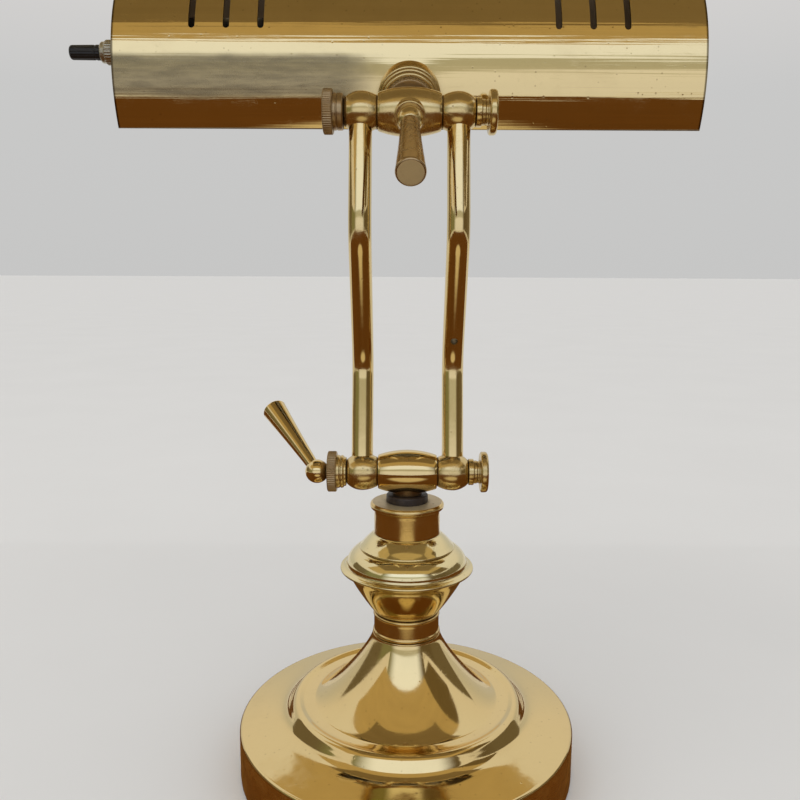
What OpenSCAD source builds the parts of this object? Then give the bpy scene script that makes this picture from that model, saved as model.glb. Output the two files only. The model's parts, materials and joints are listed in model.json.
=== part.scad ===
// Double-arm brass desk lamp with a trough shade, two clamp levers and a rotary switch.
// Origin: centre of the underside of the base, on the table. +Z is up, +X is to the right as seen
// from the back of the lamp, and +Y is the side that the shade lights.

/* [Base] */
// Diameter of the skirt of the base cover
base_d = 152; // [146:1:158]
// Height of the rolled rim above the table
rim_z = 23; // [21.5:0.5:26]
// Radius of the rolled rim
rim_r = 1.6; // [1.2:0.1:2.4]
// Slope of the flange inside the rim, in degrees
flange_slope = 10.5; // [8:0.5:12]
// Diameter at the foot of the raised ring
step_d = 107; // [104:1:110]
// Width of the slope of the raised ring
step_w = 4.1; // [3.6:0.1:5.5]
// Height of the raised ring above the flange
step_h = 6.4; // [5.4:0.1:7.5]
// Drop from the raised ring to the floor of the dish
dish_drop = 1.2; // [0.8:0.1:2]
// Width of the slope from the raised ring to the floor of the dish
dish_slope_w = 2.4; // [2:0.1:3]
// Diameter where the trumpet rises from the dish
trumpet_foot_d = 84; // [80:1:86]
// Roundness of the flare of the trumpet, where 1 is a cone and 2 is an oval
trumpet_flare = 1.25; // [1.15:0.05:1.6]
// Height of the trumpet
trumpet_h = 31; // [26:0.5:36]
// Diameter at the top of the trumpet
trumpet_top_d = 30.8; // [29:0.1:32]
// Height of the straight lip at the top of the trumpet
trumpet_lip = 0.6; // [0.4:0.1:1.2]
// Thickness of the spun brass sheet
sheet_t = 1; // [0.8:0.1:1.2]
// Height of the lower edge of the skirt above the table
skirt_gap = 1; // [0.6:0.1:1.6]
// Thickness of the felt under the weight
felt_t = 2; // [1.5:0.1:2.5]

/* [Weight and cord inlet] */
// Gap between the cast weight and the cover
weight_gap = 0.8; // [0.6:0.1:1.2]
// Diameter of the recess under the weight
recess_d = 36; // [33:1:38]
// Depth of the recess under the weight
recess_h = 12; // [11:0.5:13]
// Diameter of the washer under the weight
base_washer_d = 30; // [26:1:32]
// Thickness of the washer under the weight
base_washer_t = 1.6; // [1.2:0.1:2]
// Height of the cord inlet above the table
inlet_z = 9; // [8:0.5:10]
// Bore of the cord inlet bush
inlet_bore_d = 6.4; // [5:0.2:7]
// Wall of the cord inlet bush
inlet_wall = 1.4; // [1:0.1:1.8]
// Length of the cord inlet bush inside the skirt
inlet_l = 8; // [6:0.5:10]
// Width of the flange of the cord inlet bush
inlet_flange_w = 1.6; // [1.2:0.1:2]
// Thickness of the flange of the cord inlet bush
inlet_flange_t = 1.5; // [1.2:0.1:2]
// Clear width round the bush in the cord channel
channel_clear = 0.4; // [0.3:0.1:0.6]

/* [Column] */
// Outer diameter of the threaded rod
rod_d = 10; // [9:0.5:11]
// Bore of the threaded rod
rod_bore_d = 7; // [6.4:0.2:7.4]
// Width across the flats of the nuts on the rod
nut_af = 14; // [13:0.5:16]
// Height of the nut under the weight
nut_h = 5; // [4:0.5:5.5]
// Length of rod that stands out of the nut
rod_end = 2; // [1:0.5:2.5]
// Diameter of the lower collar
lower_collar_d = 29.4; // [28:0.2:31]
// Height of the lower collar
lower_collar_h = 10; // [8:0.5:13]
// Radius of the bead at the foot of the lower collar
foot_bead_r = 1; // [0.8:0.1:1.3]
// Radius of the bead at the top of the lower collar
top_bead_r = 0.8; // [0.6:0.1:1.1]
// Diameter over the rim of the vase
vase_d = 59.8; // [56:0.2:64]
// Height of the lower part of the vase, up to its rim
vase_low_h = 20.4; // [18:0.2:23]
// Thickness of the rim of the vase
vase_rim_t = 1.2; // [0.9:0.1:1.8]
// Overhang of the rim of the vase over the dome
vase_rim_w = 2.9; // [2.2:0.1:3.6]
// Height of the dome of the vase, up to the step
dome_h = 8.6; // [7.6:0.2:10]
// Diameter of the step above the dome
dome_step_d = 41.8; // [39:0.2:44]
// Radius of the bead on the step
step_bead_r = 0.5; // [0.4:0.1:0.7]
// Height of the upper tier of the vase above the step
vase_tier_h = 6.8; // [6:0.2:8]
// Diameter at the top of the vase
vase_top_d = 29.8; // [29:0.1:31]
// Diameter of the upper collar
upper_collar_d = 29.4; // [27.6:0.2:30.4]
// Height of the upper collar below its rim
upper_collar_h = 11; // [10:0.2:13]
// Thickness of the rounded rim of the upper collar
collar_rim_t = 3.2; // [2.6:0.2:4]
// Overhang of the rounded rim of the upper collar
collar_rim_w = 1.8; // [1.2:0.1:2.2]
// Length of rod that the upper collar screws onto
collar_thread_l = 5.2; // [4:0.2:6]

/* [Swivel] */
// Diameter of the flange of the swivel bushing
bush_flange_d = 18.5; // [17:0.1:20]
// Thickness of the flange of the swivel bushing
bush_flange_t = 3.3; // [2.6:0.1:4]
// Diameter of the spigot of the swivel bushing
bush_spigot_d = 15; // [14:0.2:17]
// Length of the spigot of the swivel bushing
bush_spigot_l = 5.5; // [4.5:0.1:6]
// Diameter of the swivel stud
stud_d = 8; // [7:0.2:9]
// Bore of the swivel stud
stud_bore_d = 4.5; // [4:0.1:5]
// Diameter of the clip on the swivel stud
clip_d = 12.4; // [11:0.2:13.4]
// Thickness of the clip on the swivel stud
clip_t = 1.2; // [0.8:0.1:1.4]
// Length of stud below the clip
stud_end = 0.8; // [0.5:0.1:1]
// Length of stud that screws into the lower barrel
stud_grip = 4.6; // [3.6:0.2:5]
// Diameter of the seat under the lower barrel
barrel_seat_d = 13; // [11:0.2:15]
// Depth that the seat stands proud of the lower barrel
barrel_seat_h = 0.2; // [0.1:0.1:0.6]

/* [Pivot hardware] */
// Length of a barrel
barrel_l = 26; // [24:0.5:30]
// Diameter at the middle of a barrel
barrel_d = 19.5; // [18.6:0.1:21]
// Diameter at the ends of a barrel
barrel_end_d = 15; // [13:0.1:16]
// Width of a knuckle
knuckle_w = 13.8; // [13:0.2:16]
// Diameter at the middle of a knuckle
knuckle_d = 16.4; // [15.6:0.1:18]
// Diameter of the face of a knuckle beside the barrel
knuckle_in_d = 12.6; // [11:0.1:13.6]
// Diameter of the outer face of a knuckle
knuckle_out_d = 10.4; // [9.6:0.1:12]
// Diameter of the pivot bolts
bolt_d = 6; // [5:0.1:6.4]
// Diameter of the bolt heads and of the knurled discs
disc_d = 18; // [16:0.1:19]
// Thickness of the bolt heads
head_t = 3.2; // [2.6:0.1:4]
// Radius of the rounded edge of a bolt head
head_edge_r = 0.8; // [0.4:0.1:1.2]
// Diameter of the ring beside a knuckle under the bolt head
ring_in_d = 11.6; // [10:0.1:13]
// Width of the ring beside a knuckle under the bolt head
ring_in_w = 2.2; // [1.6:0.1:2.6]
// Diameter of the neck under the bolt head
ring_out_d = 10.2; // [9:0.1:11]
// Width of the neck under the bolt head
ring_out_w = 3; // [2:0.1:3.4]
// Thickness of the knurled discs
knurl_t = 4; // [3.4:0.1:5]
// Teeth on a knurled disc
knurl_teeth = 44; // [30:2:60]
// Depth of the knurling
knurl_h = 0.3; // [0.2:0.05:0.5]
// Diameter of the neck beside a knurled disc
knurl_neck_d = 14.7; // [13:0.1:16]
// Length of the neck beside a knurled disc
knurl_neck_l = 4.2; // [3.4:0.1:5]

/* [Arms] */
// Outer diameter of the arm tubes
tube_d = 9.5; // [8.8:0.1:10]
// Wall of the arm tubes
tube_wall = 1; // [0.8:0.1:1.2]
// Length of the end stretches of an arm, from a pivot to a kink
arm_end_l = 49.5; // [44:0.5:56]
// Length of the middle stretch of an arm, from kink to kink
arm_mid_l = 62; // [56:0.5:72]
// Lean of the end stretches towards the lit side, in degrees
arm_end_lean = 13; // [9:0.5:15]
// Lean of the middle stretch towards the back, in degrees
arm_mid_lean = 26.5; // [22:0.5:30]
// Radius of the bends at the kinks
bend_r = 26; // [18:1:34]
// Diameter of the drilled hole in the right arm
drill_d = 3.2; // [2:0.1:4]
// Place of the drilled hole above the lower kink
drill_at = 13; // [11:0.5:20]
// Diameter of the leads inside the arm
arm_lead_d = 6; // [5.6:0.1:6.2]

/* [Levers] */
// Diameter of the ball of a lever
ball_d = 10.5; // [10:0.1:12]
// Distance from the centre of the ball to its flat
ball_flat = 4.7; // [4.4:0.1:5]
// Length of a lever, from the centre of the ball to the end of the handle
handle_l = 44; // [38:0.5:50]
// Diameter of the lower handle at the ball
low_root_d = 5.4; // [4.8:0.1:6]
// Diameter of the upper handle at the ball
up_root_d = 7.4; // [6.4:0.1:7.6]
// Diameter of the handle at its end
handle_end_d = 11.3; // [10:0.1:12.5]
// Radius of the rounded edge of the end of the handle
handle_edge_r = 1.2; // [0.8:0.1:2]
// Depth of the handle in the ball, measured from the centre of the ball
handle_seat = 3.2; // [3:0.1:3.6]
// Angle of the lower handle to its screw, in degrees
low_handle_angle = 58; // [50:1:64]
// Turn of the lower handle above level, in degrees
low_handle_turn = 38; // [10:1:80]
// Angle of the upper handle to its screw, in degrees
up_handle_angle = 13; // [8:1:16]
// Slope of the upper screw towards the back, in degrees
up_screw_slope = 21; // [18:1:26]
// Diameter of the upper screw
up_screw_d = 5; // [4:0.1:5.4]
// Diameter of the seat of the upper lever on the barrel
lever_seat_d = 12.6; // [11:0.1:13.4]
// Distance from the pivot to the seat of the upper lever
lever_seat_r = 10.8; // [10.6:0.1:12]

/* [Neck] */
// Slope of the neck towards the shade, in degrees
neck_slope = 28; // [24:0.5:32]
// Tilt of the neck from square to the back of the shade, in degrees
neck_tilt = 16; // [12:0.5:18]
// Distance from the pivot to the shade along the neck
neck_reach = 21.4; // [21:0.1:24]
// Diameter of the neck stud
neck_stud_d = 8; // [7:0.1:8.4]
// Bore of the neck stud
neck_bore_d = 5; // [4:0.1:5.4]
// Depth of the neck stud in the barrel, measured from the pivot
neck_stud_in = 4.4; // [4.2:0.1:5]
// Diameter of the boss that holds the neck stud
neck_boss_d = 11.4; // [10.6:0.1:12]
// Distance from the pivot to the end of the boss
neck_boss_l = 10.2; // [9.9:0.1:11]
// Diameter of the knurled ring on the neck
neck_ring_d = 20.4; // [18:0.1:21]
// Thickness of the knurled ring on the neck
neck_ring_t = 3.6; // [3:0.1:4]
// Diameter of the neck flange at the shade
neck_flange_d = 27; // [25.6:0.1:28]
// Diameter of the neck flange at the knurled ring
neck_flange_top_d = 23.4; // [22:0.1:24]
// Thickness of the wide part of the neck flange
neck_flange_t = 4.8; // [4.4:0.1:5.4]
// Radius of the bead on the neck flange
neck_bead_r = 1; // [0.7:0.1:1.2]
// Diameter of the washer inside the shade
inner_washer_d = 18; // [16:0.5:20]
// Thickness of the washer inside the shade
inner_washer_t = 4.2; // [4:0.1:5]
// Width across the flats of the nut inside the shade
neck_nut_af = 13; // [12:0.5:14]
// Height of the nut inside the shade
neck_nut_h = 4; // [3:0.5:5]

/* [Shade] */
// Length of the shade
shade_l = 254; // [236:1:270]
// Outer diameter of the trough
shade_d = 118; // [112:1:126]
// Sheet thickness of the shade
shade_t = 0.9; // [0.7:0.1:1.1]
// Arc of the trough, in degrees
shade_arc = 180; // [172:1:184]
// Angle from the lower edge of the trough to the neck, in degrees
neck_from_edge = 13.5; // [13:0.5:16]
// Width of the folded hem along the edges of the trough, in degrees
hem_arc = 3; // [2:0.5:4]
// Width of a vent slot
slot_w = 2.75; // [2:0.05:3.5]
// Arc of a vent slot, in degrees
slot_arc = 96; // [80:1:104]
// Distance from the middle of the shade to the first vent slot
slot_first = 63.5; // [58:0.5:70]
// Distance between vent slots
slot_pitch = 14.7; // [12:0.1:16]
// Vent slots on each side
slot_count = 3; // [2:1:3]
// Thickness of the end caps
cap_t = 1; // [0.8:0.1:1.4]
// Depth of the end caps inside the ends of the trough
cap_recess = 0.8; // [0.4:0.1:1.5]
// Width of the flange of the end caps
cap_flange = 3.5; // [3:0.1:5]

/* [Lamp holder] */
// Height of the lamp axis above the open side of the trough
lamp_rise = 18; // [17.5:0.5:22]
// Distance from the left end cap to the lamp holder
holder_gap = 13; // [11:0.5:16]
// Outer diameter of the lamp holder
holder_d = 34; // [32:0.5:35]
// Length of the lamp holder
holder_l = 44; // [40:1:50]
// Wall of the lamp holder
holder_wall = 3; // [2.6:0.1:3.2]
// Floor of the lamp holder
holder_floor = 6; // [5:0.5:8]
// Thickness of the screw shell in the lamp holder
screw_shell_t = 0.6; // [0.4:0.1:0.8]
// Diameter of the lamp
bulb_d = 28; // [26:0.5:30]
// Length of the glass of the lamp
bulb_l = 130; // [110:1:140]
// Thickness of the holder nuts
holder_nut_h = 3.5; // [3:0.5:4]

/* [Switch] */
// Distance from the outside of the trough to the switch
switch_in = 9; // [8.6:0.1:10]
// Angle from the middle of the trough to the switch, in degrees
switch_angle = 56.4; // [50:0.2:60]
// Diameter of the body of the switch
switch_d = 14; // [12:0.2:14.6]
// Length of the body of the switch
switch_l = 18; // [14:0.5:22]
// Diameter of the threaded neck of the switch
switch_neck_d = 8; // [7:0.1:8.6]
// Diameter of the washer under the switch nut
switch_washer_d = 12.7; // [11:0.1:14]
// Thickness of the washer under the switch nut
switch_washer_t = 2; // [1:0.1:2.6]
// Diameter of the switch nut
switch_nut_d = 10.4; // [9.6:0.1:11.4]
// Height of the switch nut
switch_nut_h = 5.6; // [4:0.1:6.4]
// Diameter of the switch spindle
spindle_d = 3.2; // [2.8:0.1:3.6]
// Diameter of the knob at the nut
knob_d = 6.4; // [5.8:0.1:7]
// Diameter of the end of the knob
knob_end_d = 5.6; // [5:0.1:6]
// Length of the knob
knob_l = 13.5; // [10:0.5:15]
// Ribs round the knob
knob_ribs = 18; // [12:1:24]
// Depth of the ribs of the knob
knob_rib_h = 0.25; // [0.15:0.05:0.35]
// Diameter of the leads in the shade
shade_lead_d = 4.4; // [4:0.1:4.8]

/* [Fits] */
// Radial clearance of a shaft that turns in a hole
run_clear = 0.05; // [0.03:0.01:0.08]
// Radial clearance of a piece that is fixed in a hole
fit_clear = 0.03; // [0.02:0.01:0.06]
// Radial clearance of the rod in its holes
hole_clear = 0.25; // [0.15:0.05:0.35]
// Gap between flat faces that turn on each other
face_gap = 0.12; // [0.08:0.01:0.2]
// Gap between curved pieces that stay together
seat_gap = 0.1; // [0.05:0.01:0.2]

/* [Hidden] */
$fn = 64;
// Sides of a large round that a small piece is cut to
large_fn = 720;

brass = [0.80, 0.62, 0.30];
aged_brass = [0.62, 0.47, 0.24];
steel = [0.66, 0.66, 0.68];
iron = [0.25, 0.25, 0.26];
black = [0.06, 0.05, 0.05];
felt_green = [0.10, 0.22, 0.14];
lead_grey = [0.30, 0.29, 0.27];
frosted = [0.93, 0.92, 0.88, 0.7];

// Steps along a curved stretch of an outline
curve_steps = 14;
// Overlap that carries a cut past the face that it opens
cut_past = 1;

// Outlines are lists of [radius, height]
function unit(v) = v / norm(v);
function left_of(v) = [-v[1], v[0]];
function along(p, i) = unit(p[min(i + 1, len(p) - 1)] - p[max(i - 1, 0)]);
function inset(p, t) = [for (i = [0:len(p) - 1]) p[i] + t * left_of(along(p, i))];
function reversed(p) = [for (i = [len(p) - 1:-1:0]) p[i]];
function oval(c, rx, ry, a0, a1) =
    [for (i = [0:curve_steps]) let (a = a0 + (a1 - a0) * i / curve_steps) c + [rx * cos(a), ry * sin(a)]];
function flare(c, rx, ry, roundness) =
    [for (i = [curve_steps:-1:0]) let (a = 90 * i / curve_steps)
        c - [rx * pow(cos(a), 2 / roundness), ry * pow(sin(a), 2 / roundness)]];
function ogee(a, b) =
    [for (i = [0:curve_steps]) let (u = i / curve_steps)
        [a[0] + (b[0] - a[0]) * u, a[1] + (b[1] - a[1]) * (1 - cos(180 * u)) / 2]];
// Radius of a piece that swells along an arc, at a distance from its middle
function swell(x, half_l, mid_r, end_r) = let (
    rise = mid_r - end_r,
    arc_r = (half_l * half_l + rise * rise) / (2 * rise)
) mid_r - arc_r + sqrt(arc_r * arc_r - x * x);

// Base: outline of the outside of the cover, from the foot of the skirt to the top of the trumpet
base_r = base_d / 2;
rim_c = [base_r - rim_r, rim_z - rim_r];
flange_out = rim_c + rim_r * [sin(flange_slope), cos(flange_slope)];
step_r = step_d / 2;
step_foot = [step_r, flange_out[1] + (flange_out[0] - step_r) * tan(flange_slope)];
step_top = step_foot + [-step_w, step_h];
dish_edge = step_top - [dish_slope_w, dish_drop];
dish_z = dish_edge[1];
trumpet_foot_r = trumpet_foot_d / 2;
trumpet_top_r = trumpet_top_d / 2;
// Margin that keeps the seat of the weight on the flat of the dish
flat_margin = 1;
flat_out_r = dish_edge[0] - flat_margin;
flat_in_r = trumpet_foot_r + flat_margin;
trumpet_z = dish_z + trumpet_h;
cover_top_z = trumpet_z + trumpet_lip;
cover_path = concat(
    [[base_r, skirt_gap]],
    oval(rim_c, rim_r, rim_r, 0, 90 - flange_slope),
    ogee(step_foot, step_top),
    ogee(step_top, dish_edge),
    [[flat_out_r, dish_z], [flat_in_r, dish_z]],
    flare([trumpet_foot_r, trumpet_z], trumpet_foot_r - trumpet_top_r, trumpet_h, trumpet_flare),
    [[trumpet_top_r, cover_top_z]]
);

// Base: the weight under the cover
weight_r = base_r - sheet_t - weight_gap;
weight_edge_z = rim_c[1] - weight_gap;
weight_rise_r = rim_c[0] - rim_r;
function flange_under(r) =
    flange_out[1] + (flange_out[0] - r) * tan(flange_slope) - sheet_t / cos(flange_slope) - weight_gap;
weight_top_z = dish_z - sheet_t;
recess_z = felt_t + recess_h;
rod_hole_r = rod_d / 2 + hole_clear;
// Gap round the leads inside the rod
lead_gap = 0.5;
inlet_r = inlet_bore_d / 2 + inlet_wall;
channel_w = 2 * (inlet_r + channel_clear);

// Column: heights of the pieces stacked on the rod
vase_z = cover_top_z + lower_collar_h;
vase_rim_z = vase_z + vase_low_h;
dome_z = vase_rim_z + vase_rim_t;
vase_step_z = dome_z + dome_h;
upper_collar_z = vase_step_z + vase_tier_h;
collar_rim_z = upper_collar_z + upper_collar_h;
collar_top_z = collar_rim_z + collar_rim_t;
rod_z = recess_z - base_washer_t - nut_h - rod_end;
rod_top_z = upper_collar_z + collar_thread_l;
vase_r = vase_d / 2;
dome_r = vase_r - vase_rim_w;
dome_step_r = dome_step_d / 2;
vase_top_r = vase_top_d / 2;

// Swivel and lower pivot
bush_low_z = collar_top_z - bush_spigot_l;
bush_top_z = collar_top_z + bush_flange_t;
clip_top_z = bush_low_z - face_gap;
stud_low_z = clip_top_z - clip_t - stud_end;
seat_z = bush_top_z + face_gap;
stud_top_z = seat_z + stud_grip;
low_pivot = [0, 0, seat_z + barrel_seat_h + barrel_d / 2];

// Pivot hardware: distances from the middle plane of the lamp
barrel_rise = (barrel_d - barrel_end_d) / 2;
barrel_arc_r = (barrel_l * barrel_l / 4 + barrel_rise * barrel_rise) / (2 * barrel_rise);
bolt_r = bolt_d / 2;
pivot_hole_r = bolt_r + run_clear;
knuckle_x = barrel_l / 2 + face_gap;
knuckle_end_x = knuckle_x + knuckle_w;
arm_x = knuckle_x + knuckle_w / 2;
washer_x = knuckle_end_x + face_gap;
knurl_x = washer_x + knurl_neck_l;
knurl_end_x = knurl_x + knurl_t;
head_x = washer_x + ring_in_w + ring_out_w;
ball_x = knurl_end_x + face_gap + ball_flat;

// Arms: stretches and bends in the plane of one arm
tube_r = tube_d / 2;
arm_turn = arm_end_lean + arm_mid_lean;
bend_l = bend_r * tan(arm_turn / 2);
tube_seat = pivot_hole_r + tube_wall;
// Amount that the tube draws in at a bend, and the turn that the bend runs on into the stretches
bend_draw = 0.02;
bend_lap = 1;
up_pivot = low_pivot + [
    0,
    2 * arm_end_l * sin(arm_end_lean) - arm_mid_l * sin(arm_mid_lean),
    2 * arm_end_l * cos(arm_end_lean) + arm_mid_l * cos(arm_mid_lean)
];

// Levers
ball_r = ball_d / 2;
lever_bolt_end = ball_flat - bolt_r;
up_ball_r = lever_seat_r + face_gap + ball_flat;
// Gap between the tip of the upper screw and the pivot bolt
screw_tip_gap = 0.5;

// Neck and shade
shade_r = shade_d / 2;
shade_in_r = shade_r - shade_t;
shade_roll = 90 + neck_slope - neck_tilt + neck_from_edge - shade_arc / 2;
neck_ring_z = neck_boss_l + seat_gap;
neck_flange_z = neck_ring_z + neck_ring_t + face_gap;
inner_washer_z = neck_reach + shade_t + inner_washer_t;
neck_nut_z = inner_washer_z + face_gap;
// Length of stud beyond the nut inside the shade
neck_stud_end = 1;
neck_stud_top = neck_nut_z + neck_nut_h + neck_stud_end;
cap_x = shade_l / 2 - cap_recess;
cap_in_x = cap_x - cap_t;
cap_r = shade_in_r - seat_gap;
hem_l = shade_l - 2 * (cap_recess + cap_flange + cut_past);
// Turn from an edge of the trough to the fold of its hem
hem_back = 0.2;
// Height and width of the faint drawn ribs beside the vent slots
rib_h = 0.02;
rib_w = 4;

// Lamp holder and switch
holder_x = -cap_in_x + holder_gap;
holder_end_x = holder_x + holder_l;
shell_r = holder_d / 2 - holder_wall - fit_clear;
cap_contact_gap = 0.4;
bulb_cap_r = shell_r - screw_shell_t - seat_gap;
bulb_cap_x = holder_x + holder_floor + cap_contact_gap;
// Length over which the glass widens from its cap, and thickness of the glass
bulb_shoulder = 8;
glass_t = 0.9;
switch_hole_r = switch_neck_d / 2 + fit_clear;
knob_x = -cap_x - switch_washer_t - switch_nut_h - face_gap;

// Leads in the shade: the neck seen from the axis of the trough, and the steps of their curve
neck_turn = shade_arc / 2 - neck_from_edge;
neck_way = [0, sin(neck_turn + neck_tilt), -cos(neck_turn + neck_tilt)];
lead_steps = 24;
lead_sides = 12;
// Length over which the leads bend away from the neck and from the switch
lead_bow = 16;

// Places
module at_low_pivot() translate(low_pivot) children();
module at_up_pivot() translate(up_pivot) children();
module along_x(x) translate([x, 0, 0]) rotate([0, 90, 0]) children();
module at_left() mirror([1, 0, 0]) children();
module at_neck() at_up_pivot() rotate([neck_slope - 90, 0, 0]) children();
module at_shade() at_neck() translate([0, 0, neck_reach]) rotate([-neck_tilt, 0, 0])
    translate([0, 0, shade_r]) rotate([90 - neck_slope + neck_tilt + shade_roll, 0, 0]) children();
module at_lamp() at_shade() translate([0, 0, lamp_rise]) children();
module at_switch() at_shade() rotate([switch_angle, 0, 0])
    translate([0, 0, shade_r - switch_in]) children();
module at_low_ball() at_low_pivot() translate([-ball_x, 0, 0]) rotate([0, -90, 0])
    rotate([0, 0, -low_handle_turn]) children();
module at_up_ball() at_up_pivot() rotate([90 + up_screw_slope, 0, 0]) translate([0, 0, up_ball_r])
    rotate([0, 0, 180]) children();

// Shapes that repeat
module turned(path) rotate_extrude() polygon(path);
module spun(path, t) turned(concat(path, reversed(inset(path, t))));
module bead(ring_r, r) rotate_extrude() translate([ring_r, 0]) circle(r = r);
module hex_nut(af, h, hole_r) difference() {
    cylinder(d = af / cos(30), h = h, $fn = 6);
    translate([0, 0, -cut_past]) cylinder(r = hole_r, h = h + 2 * cut_past);
}
module tube(r, hole_r, h) difference() {
    cylinder(r = r, h = h);
    translate([0, 0, -cut_past]) cylinder(r = hole_r, h = h + 2 * cut_past);
}
module knurled(d, h, teeth, depth) linear_extrude(h) polygon(
    [for (i = [0:2 * teeth - 1]) let (a = 180 * i / teeth) (d / 2 - (i % 2) * depth) * [cos(a), sin(a)]]
);
module swelling(l, mid_d, end_d, other_end_d) turned(concat(
    [[0, -l / 2]],
    [for (i = [-curve_steps:curve_steps]) let (u = i / curve_steps)
        [swell(u * l / 2, l / 2, mid_d / 2, (i < 0 ? end_d : other_end_d) / 2), u * l / 2]],
    [[0, l / 2]]
));
// A barrel swells along one arc, and a knuckle swells like a ball
module barrel() rotate_extrude() intersection() {
    translate([barrel_d / 2 - barrel_arc_r, 0]) circle(r = barrel_arc_r, $fn = large_fn);
    translate([0, -barrel_l / 2]) square([barrel_d, barrel_l]);
}

// Base
module base_cover() color(brass) difference() {
    spun(cover_path, sheet_t);
    translate([0, 0, inlet_z]) rotate([90, 0, 0]) cylinder(r = inlet_r + fit_clear, h = base_r + cut_past);
}

module base_weight() color(iron) difference() {
    turned([
        [rod_hole_r, recess_z],
        [recess_d / 2, recess_z],
        [recess_d / 2, felt_t],
        [weight_r, felt_t],
        [weight_r, weight_edge_z],
        [weight_rise_r, flange_under(weight_rise_r)],
        [step_r, flange_under(step_r)],
        [flat_out_r, flange_under(step_r)],
        [flat_out_r, weight_top_z],
        [rod_hole_r, weight_top_z]
    ]);
    translate([-channel_w / 2, -base_r, felt_t - cut_past])
        cube([channel_w, base_r, inlet_z + channel_w / 2 - felt_t + cut_past]);
}

module base_felt() color(felt_green) cylinder(r = weight_r, h = felt_t);

module base_washer() color(steel) translate([0, 0, recess_z - base_washer_t])
    tube(base_washer_d / 2, rod_hole_r, base_washer_t);

module base_nut() color(brass) translate([0, 0, recess_z - base_washer_t - nut_h])
    hex_nut(nut_af, nut_h, rod_d / 2 + fit_clear);

module cord_bush() color(black) translate([0, -base_r, inlet_z]) rotate([90, 0, 0]) difference() {
    union() {
        translate([0, 0, -inlet_l]) cylinder(r = inlet_r, h = inlet_l);
        cylinder(r = inlet_r + inlet_flange_w, h = inlet_flange_t);
    }
    translate([0, 0, -inlet_l - cut_past])
        cylinder(d = inlet_bore_d, h = inlet_l + inlet_flange_t + 2 * cut_past);
}

// Column
module column_rod() color(steel) translate([0, 0, rod_z])
    tube(rod_d / 2, rod_bore_d / 2, rod_top_z - rod_z);

module column_lead() color(lead_grey) translate([0, 0, rod_z])
    cylinder(r = rod_bore_d / 2 - lead_gap, h = rod_top_z - rod_z);

module lower_collar() color(brass) translate([0, 0, cover_top_z]) difference() {
    union() {
        cylinder(d = lower_collar_d, h = lower_collar_h);
        translate([0, 0, foot_bead_r]) bead(lower_collar_d / 2 - foot_bead_r / 2, foot_bead_r);
        translate([0, 0, lower_collar_h - top_bead_r])
            bead(lower_collar_d / 2 - top_bead_r / 2, top_bead_r);
    }
    translate([0, 0, -cut_past]) cylinder(r = rod_hole_r, h = lower_collar_h + 2 * cut_past);
}

module vase_bottom() color(brass) {
    foot_r = lower_collar_d / 2 - sheet_t / 2;
    mouth_r = dome_r - sheet_t;
    // The side opens a little faster at the foot
    opening = 0.92;
    translate([0, 0, vase_z]) spun(concat(
        [[rod_hole_r, 0], [foot_r - flat_margin, 0]],
        [for (i = [0:curve_steps]) let (u = i / curve_steps)
            [foot_r + (mouth_r - foot_r) * pow(u, opening), vase_low_h * u]],
        [[mouth_r, vase_low_h + vase_rim_t / 2]]
    ), sheet_t);
    translate([0, 0, vase_rim_z]) {
        rim_edge_r = vase_rim_t / 2;
        translate([0, 0, rim_edge_r]) bead(vase_r - rim_edge_r, rim_edge_r);
        tube(vase_r - rim_edge_r, mouth_r - sheet_t, vase_rim_t);
    }
}

module vase_top() color(brass) {
    dome_in_r = dome_step_r;
    // The upper tier is a cone that is rounded a little
    rounding = 0.85;
    translate([0, 0, dome_z]) spun(concat(
        [[dome_r, 0]],
        oval([dome_in_r, sheet_t], dome_r - dome_in_r, dome_h - sheet_t, 0, 84),
        [for (i = [0:curve_steps]) let (u = i / curve_steps)
            [dome_step_r + (vase_top_r - dome_step_r) * u,
                dome_h + (vase_tier_h - sheet_t) * pow(u, rounding)]],
        [[vase_top_r, dome_h + vase_tier_h], [vase_top_r - sheet_t, dome_h + vase_tier_h],
            [rod_hole_r, dome_h + vase_tier_h]]
    ), sheet_t);
    translate([0, 0, vase_step_z]) bead(dome_step_r, step_bead_r);
}

module upper_collar() color(brass) translate([0, 0, upper_collar_z]) difference() {
    union() {
        cylinder(d = upper_collar_d, h = upper_collar_h + collar_rim_t);
        translate([0, 0, upper_collar_h + collar_rim_t / 2])
            bead(upper_collar_d / 2 + collar_rim_w - collar_rim_t / 2, collar_rim_t / 2);
        translate([0, 0, upper_collar_h])
            cylinder(r = upper_collar_d / 2 + collar_rim_w - collar_rim_t / 2, h = collar_rim_t);
    }
    translate([0, 0, -cut_past]) cylinder(r = rod_d / 2 + fit_clear, h = collar_thread_l + 2 * cut_past);
    translate([0, 0, collar_thread_l])
        cylinder(r = bush_spigot_d / 2 + fit_clear, h = upper_collar_h + collar_rim_t);
}

// Swivel
module swivel_bushing() color(black) difference() {
    union() {
        translate([0, 0, bush_low_z]) cylinder(d = bush_spigot_d, h = bush_spigot_l);
        translate([0, 0, collar_top_z]) cylinder(d = bush_flange_d, h = bush_flange_t);
    }
    translate([0, 0, bush_low_z - cut_past])
        cylinder(r = stud_d / 2 + run_clear, h = bush_spigot_l + bush_flange_t + 2 * cut_past);
}

module swivel_stud() color(steel) translate([0, 0, stud_low_z])
    tube(stud_d / 2, stud_bore_d / 2, stud_top_z - stud_low_z);

module swivel_clip() color(steel) translate([0, 0, clip_top_z - clip_t])
    tube(clip_d / 2, stud_d / 2 + fit_clear, clip_t);

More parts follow.
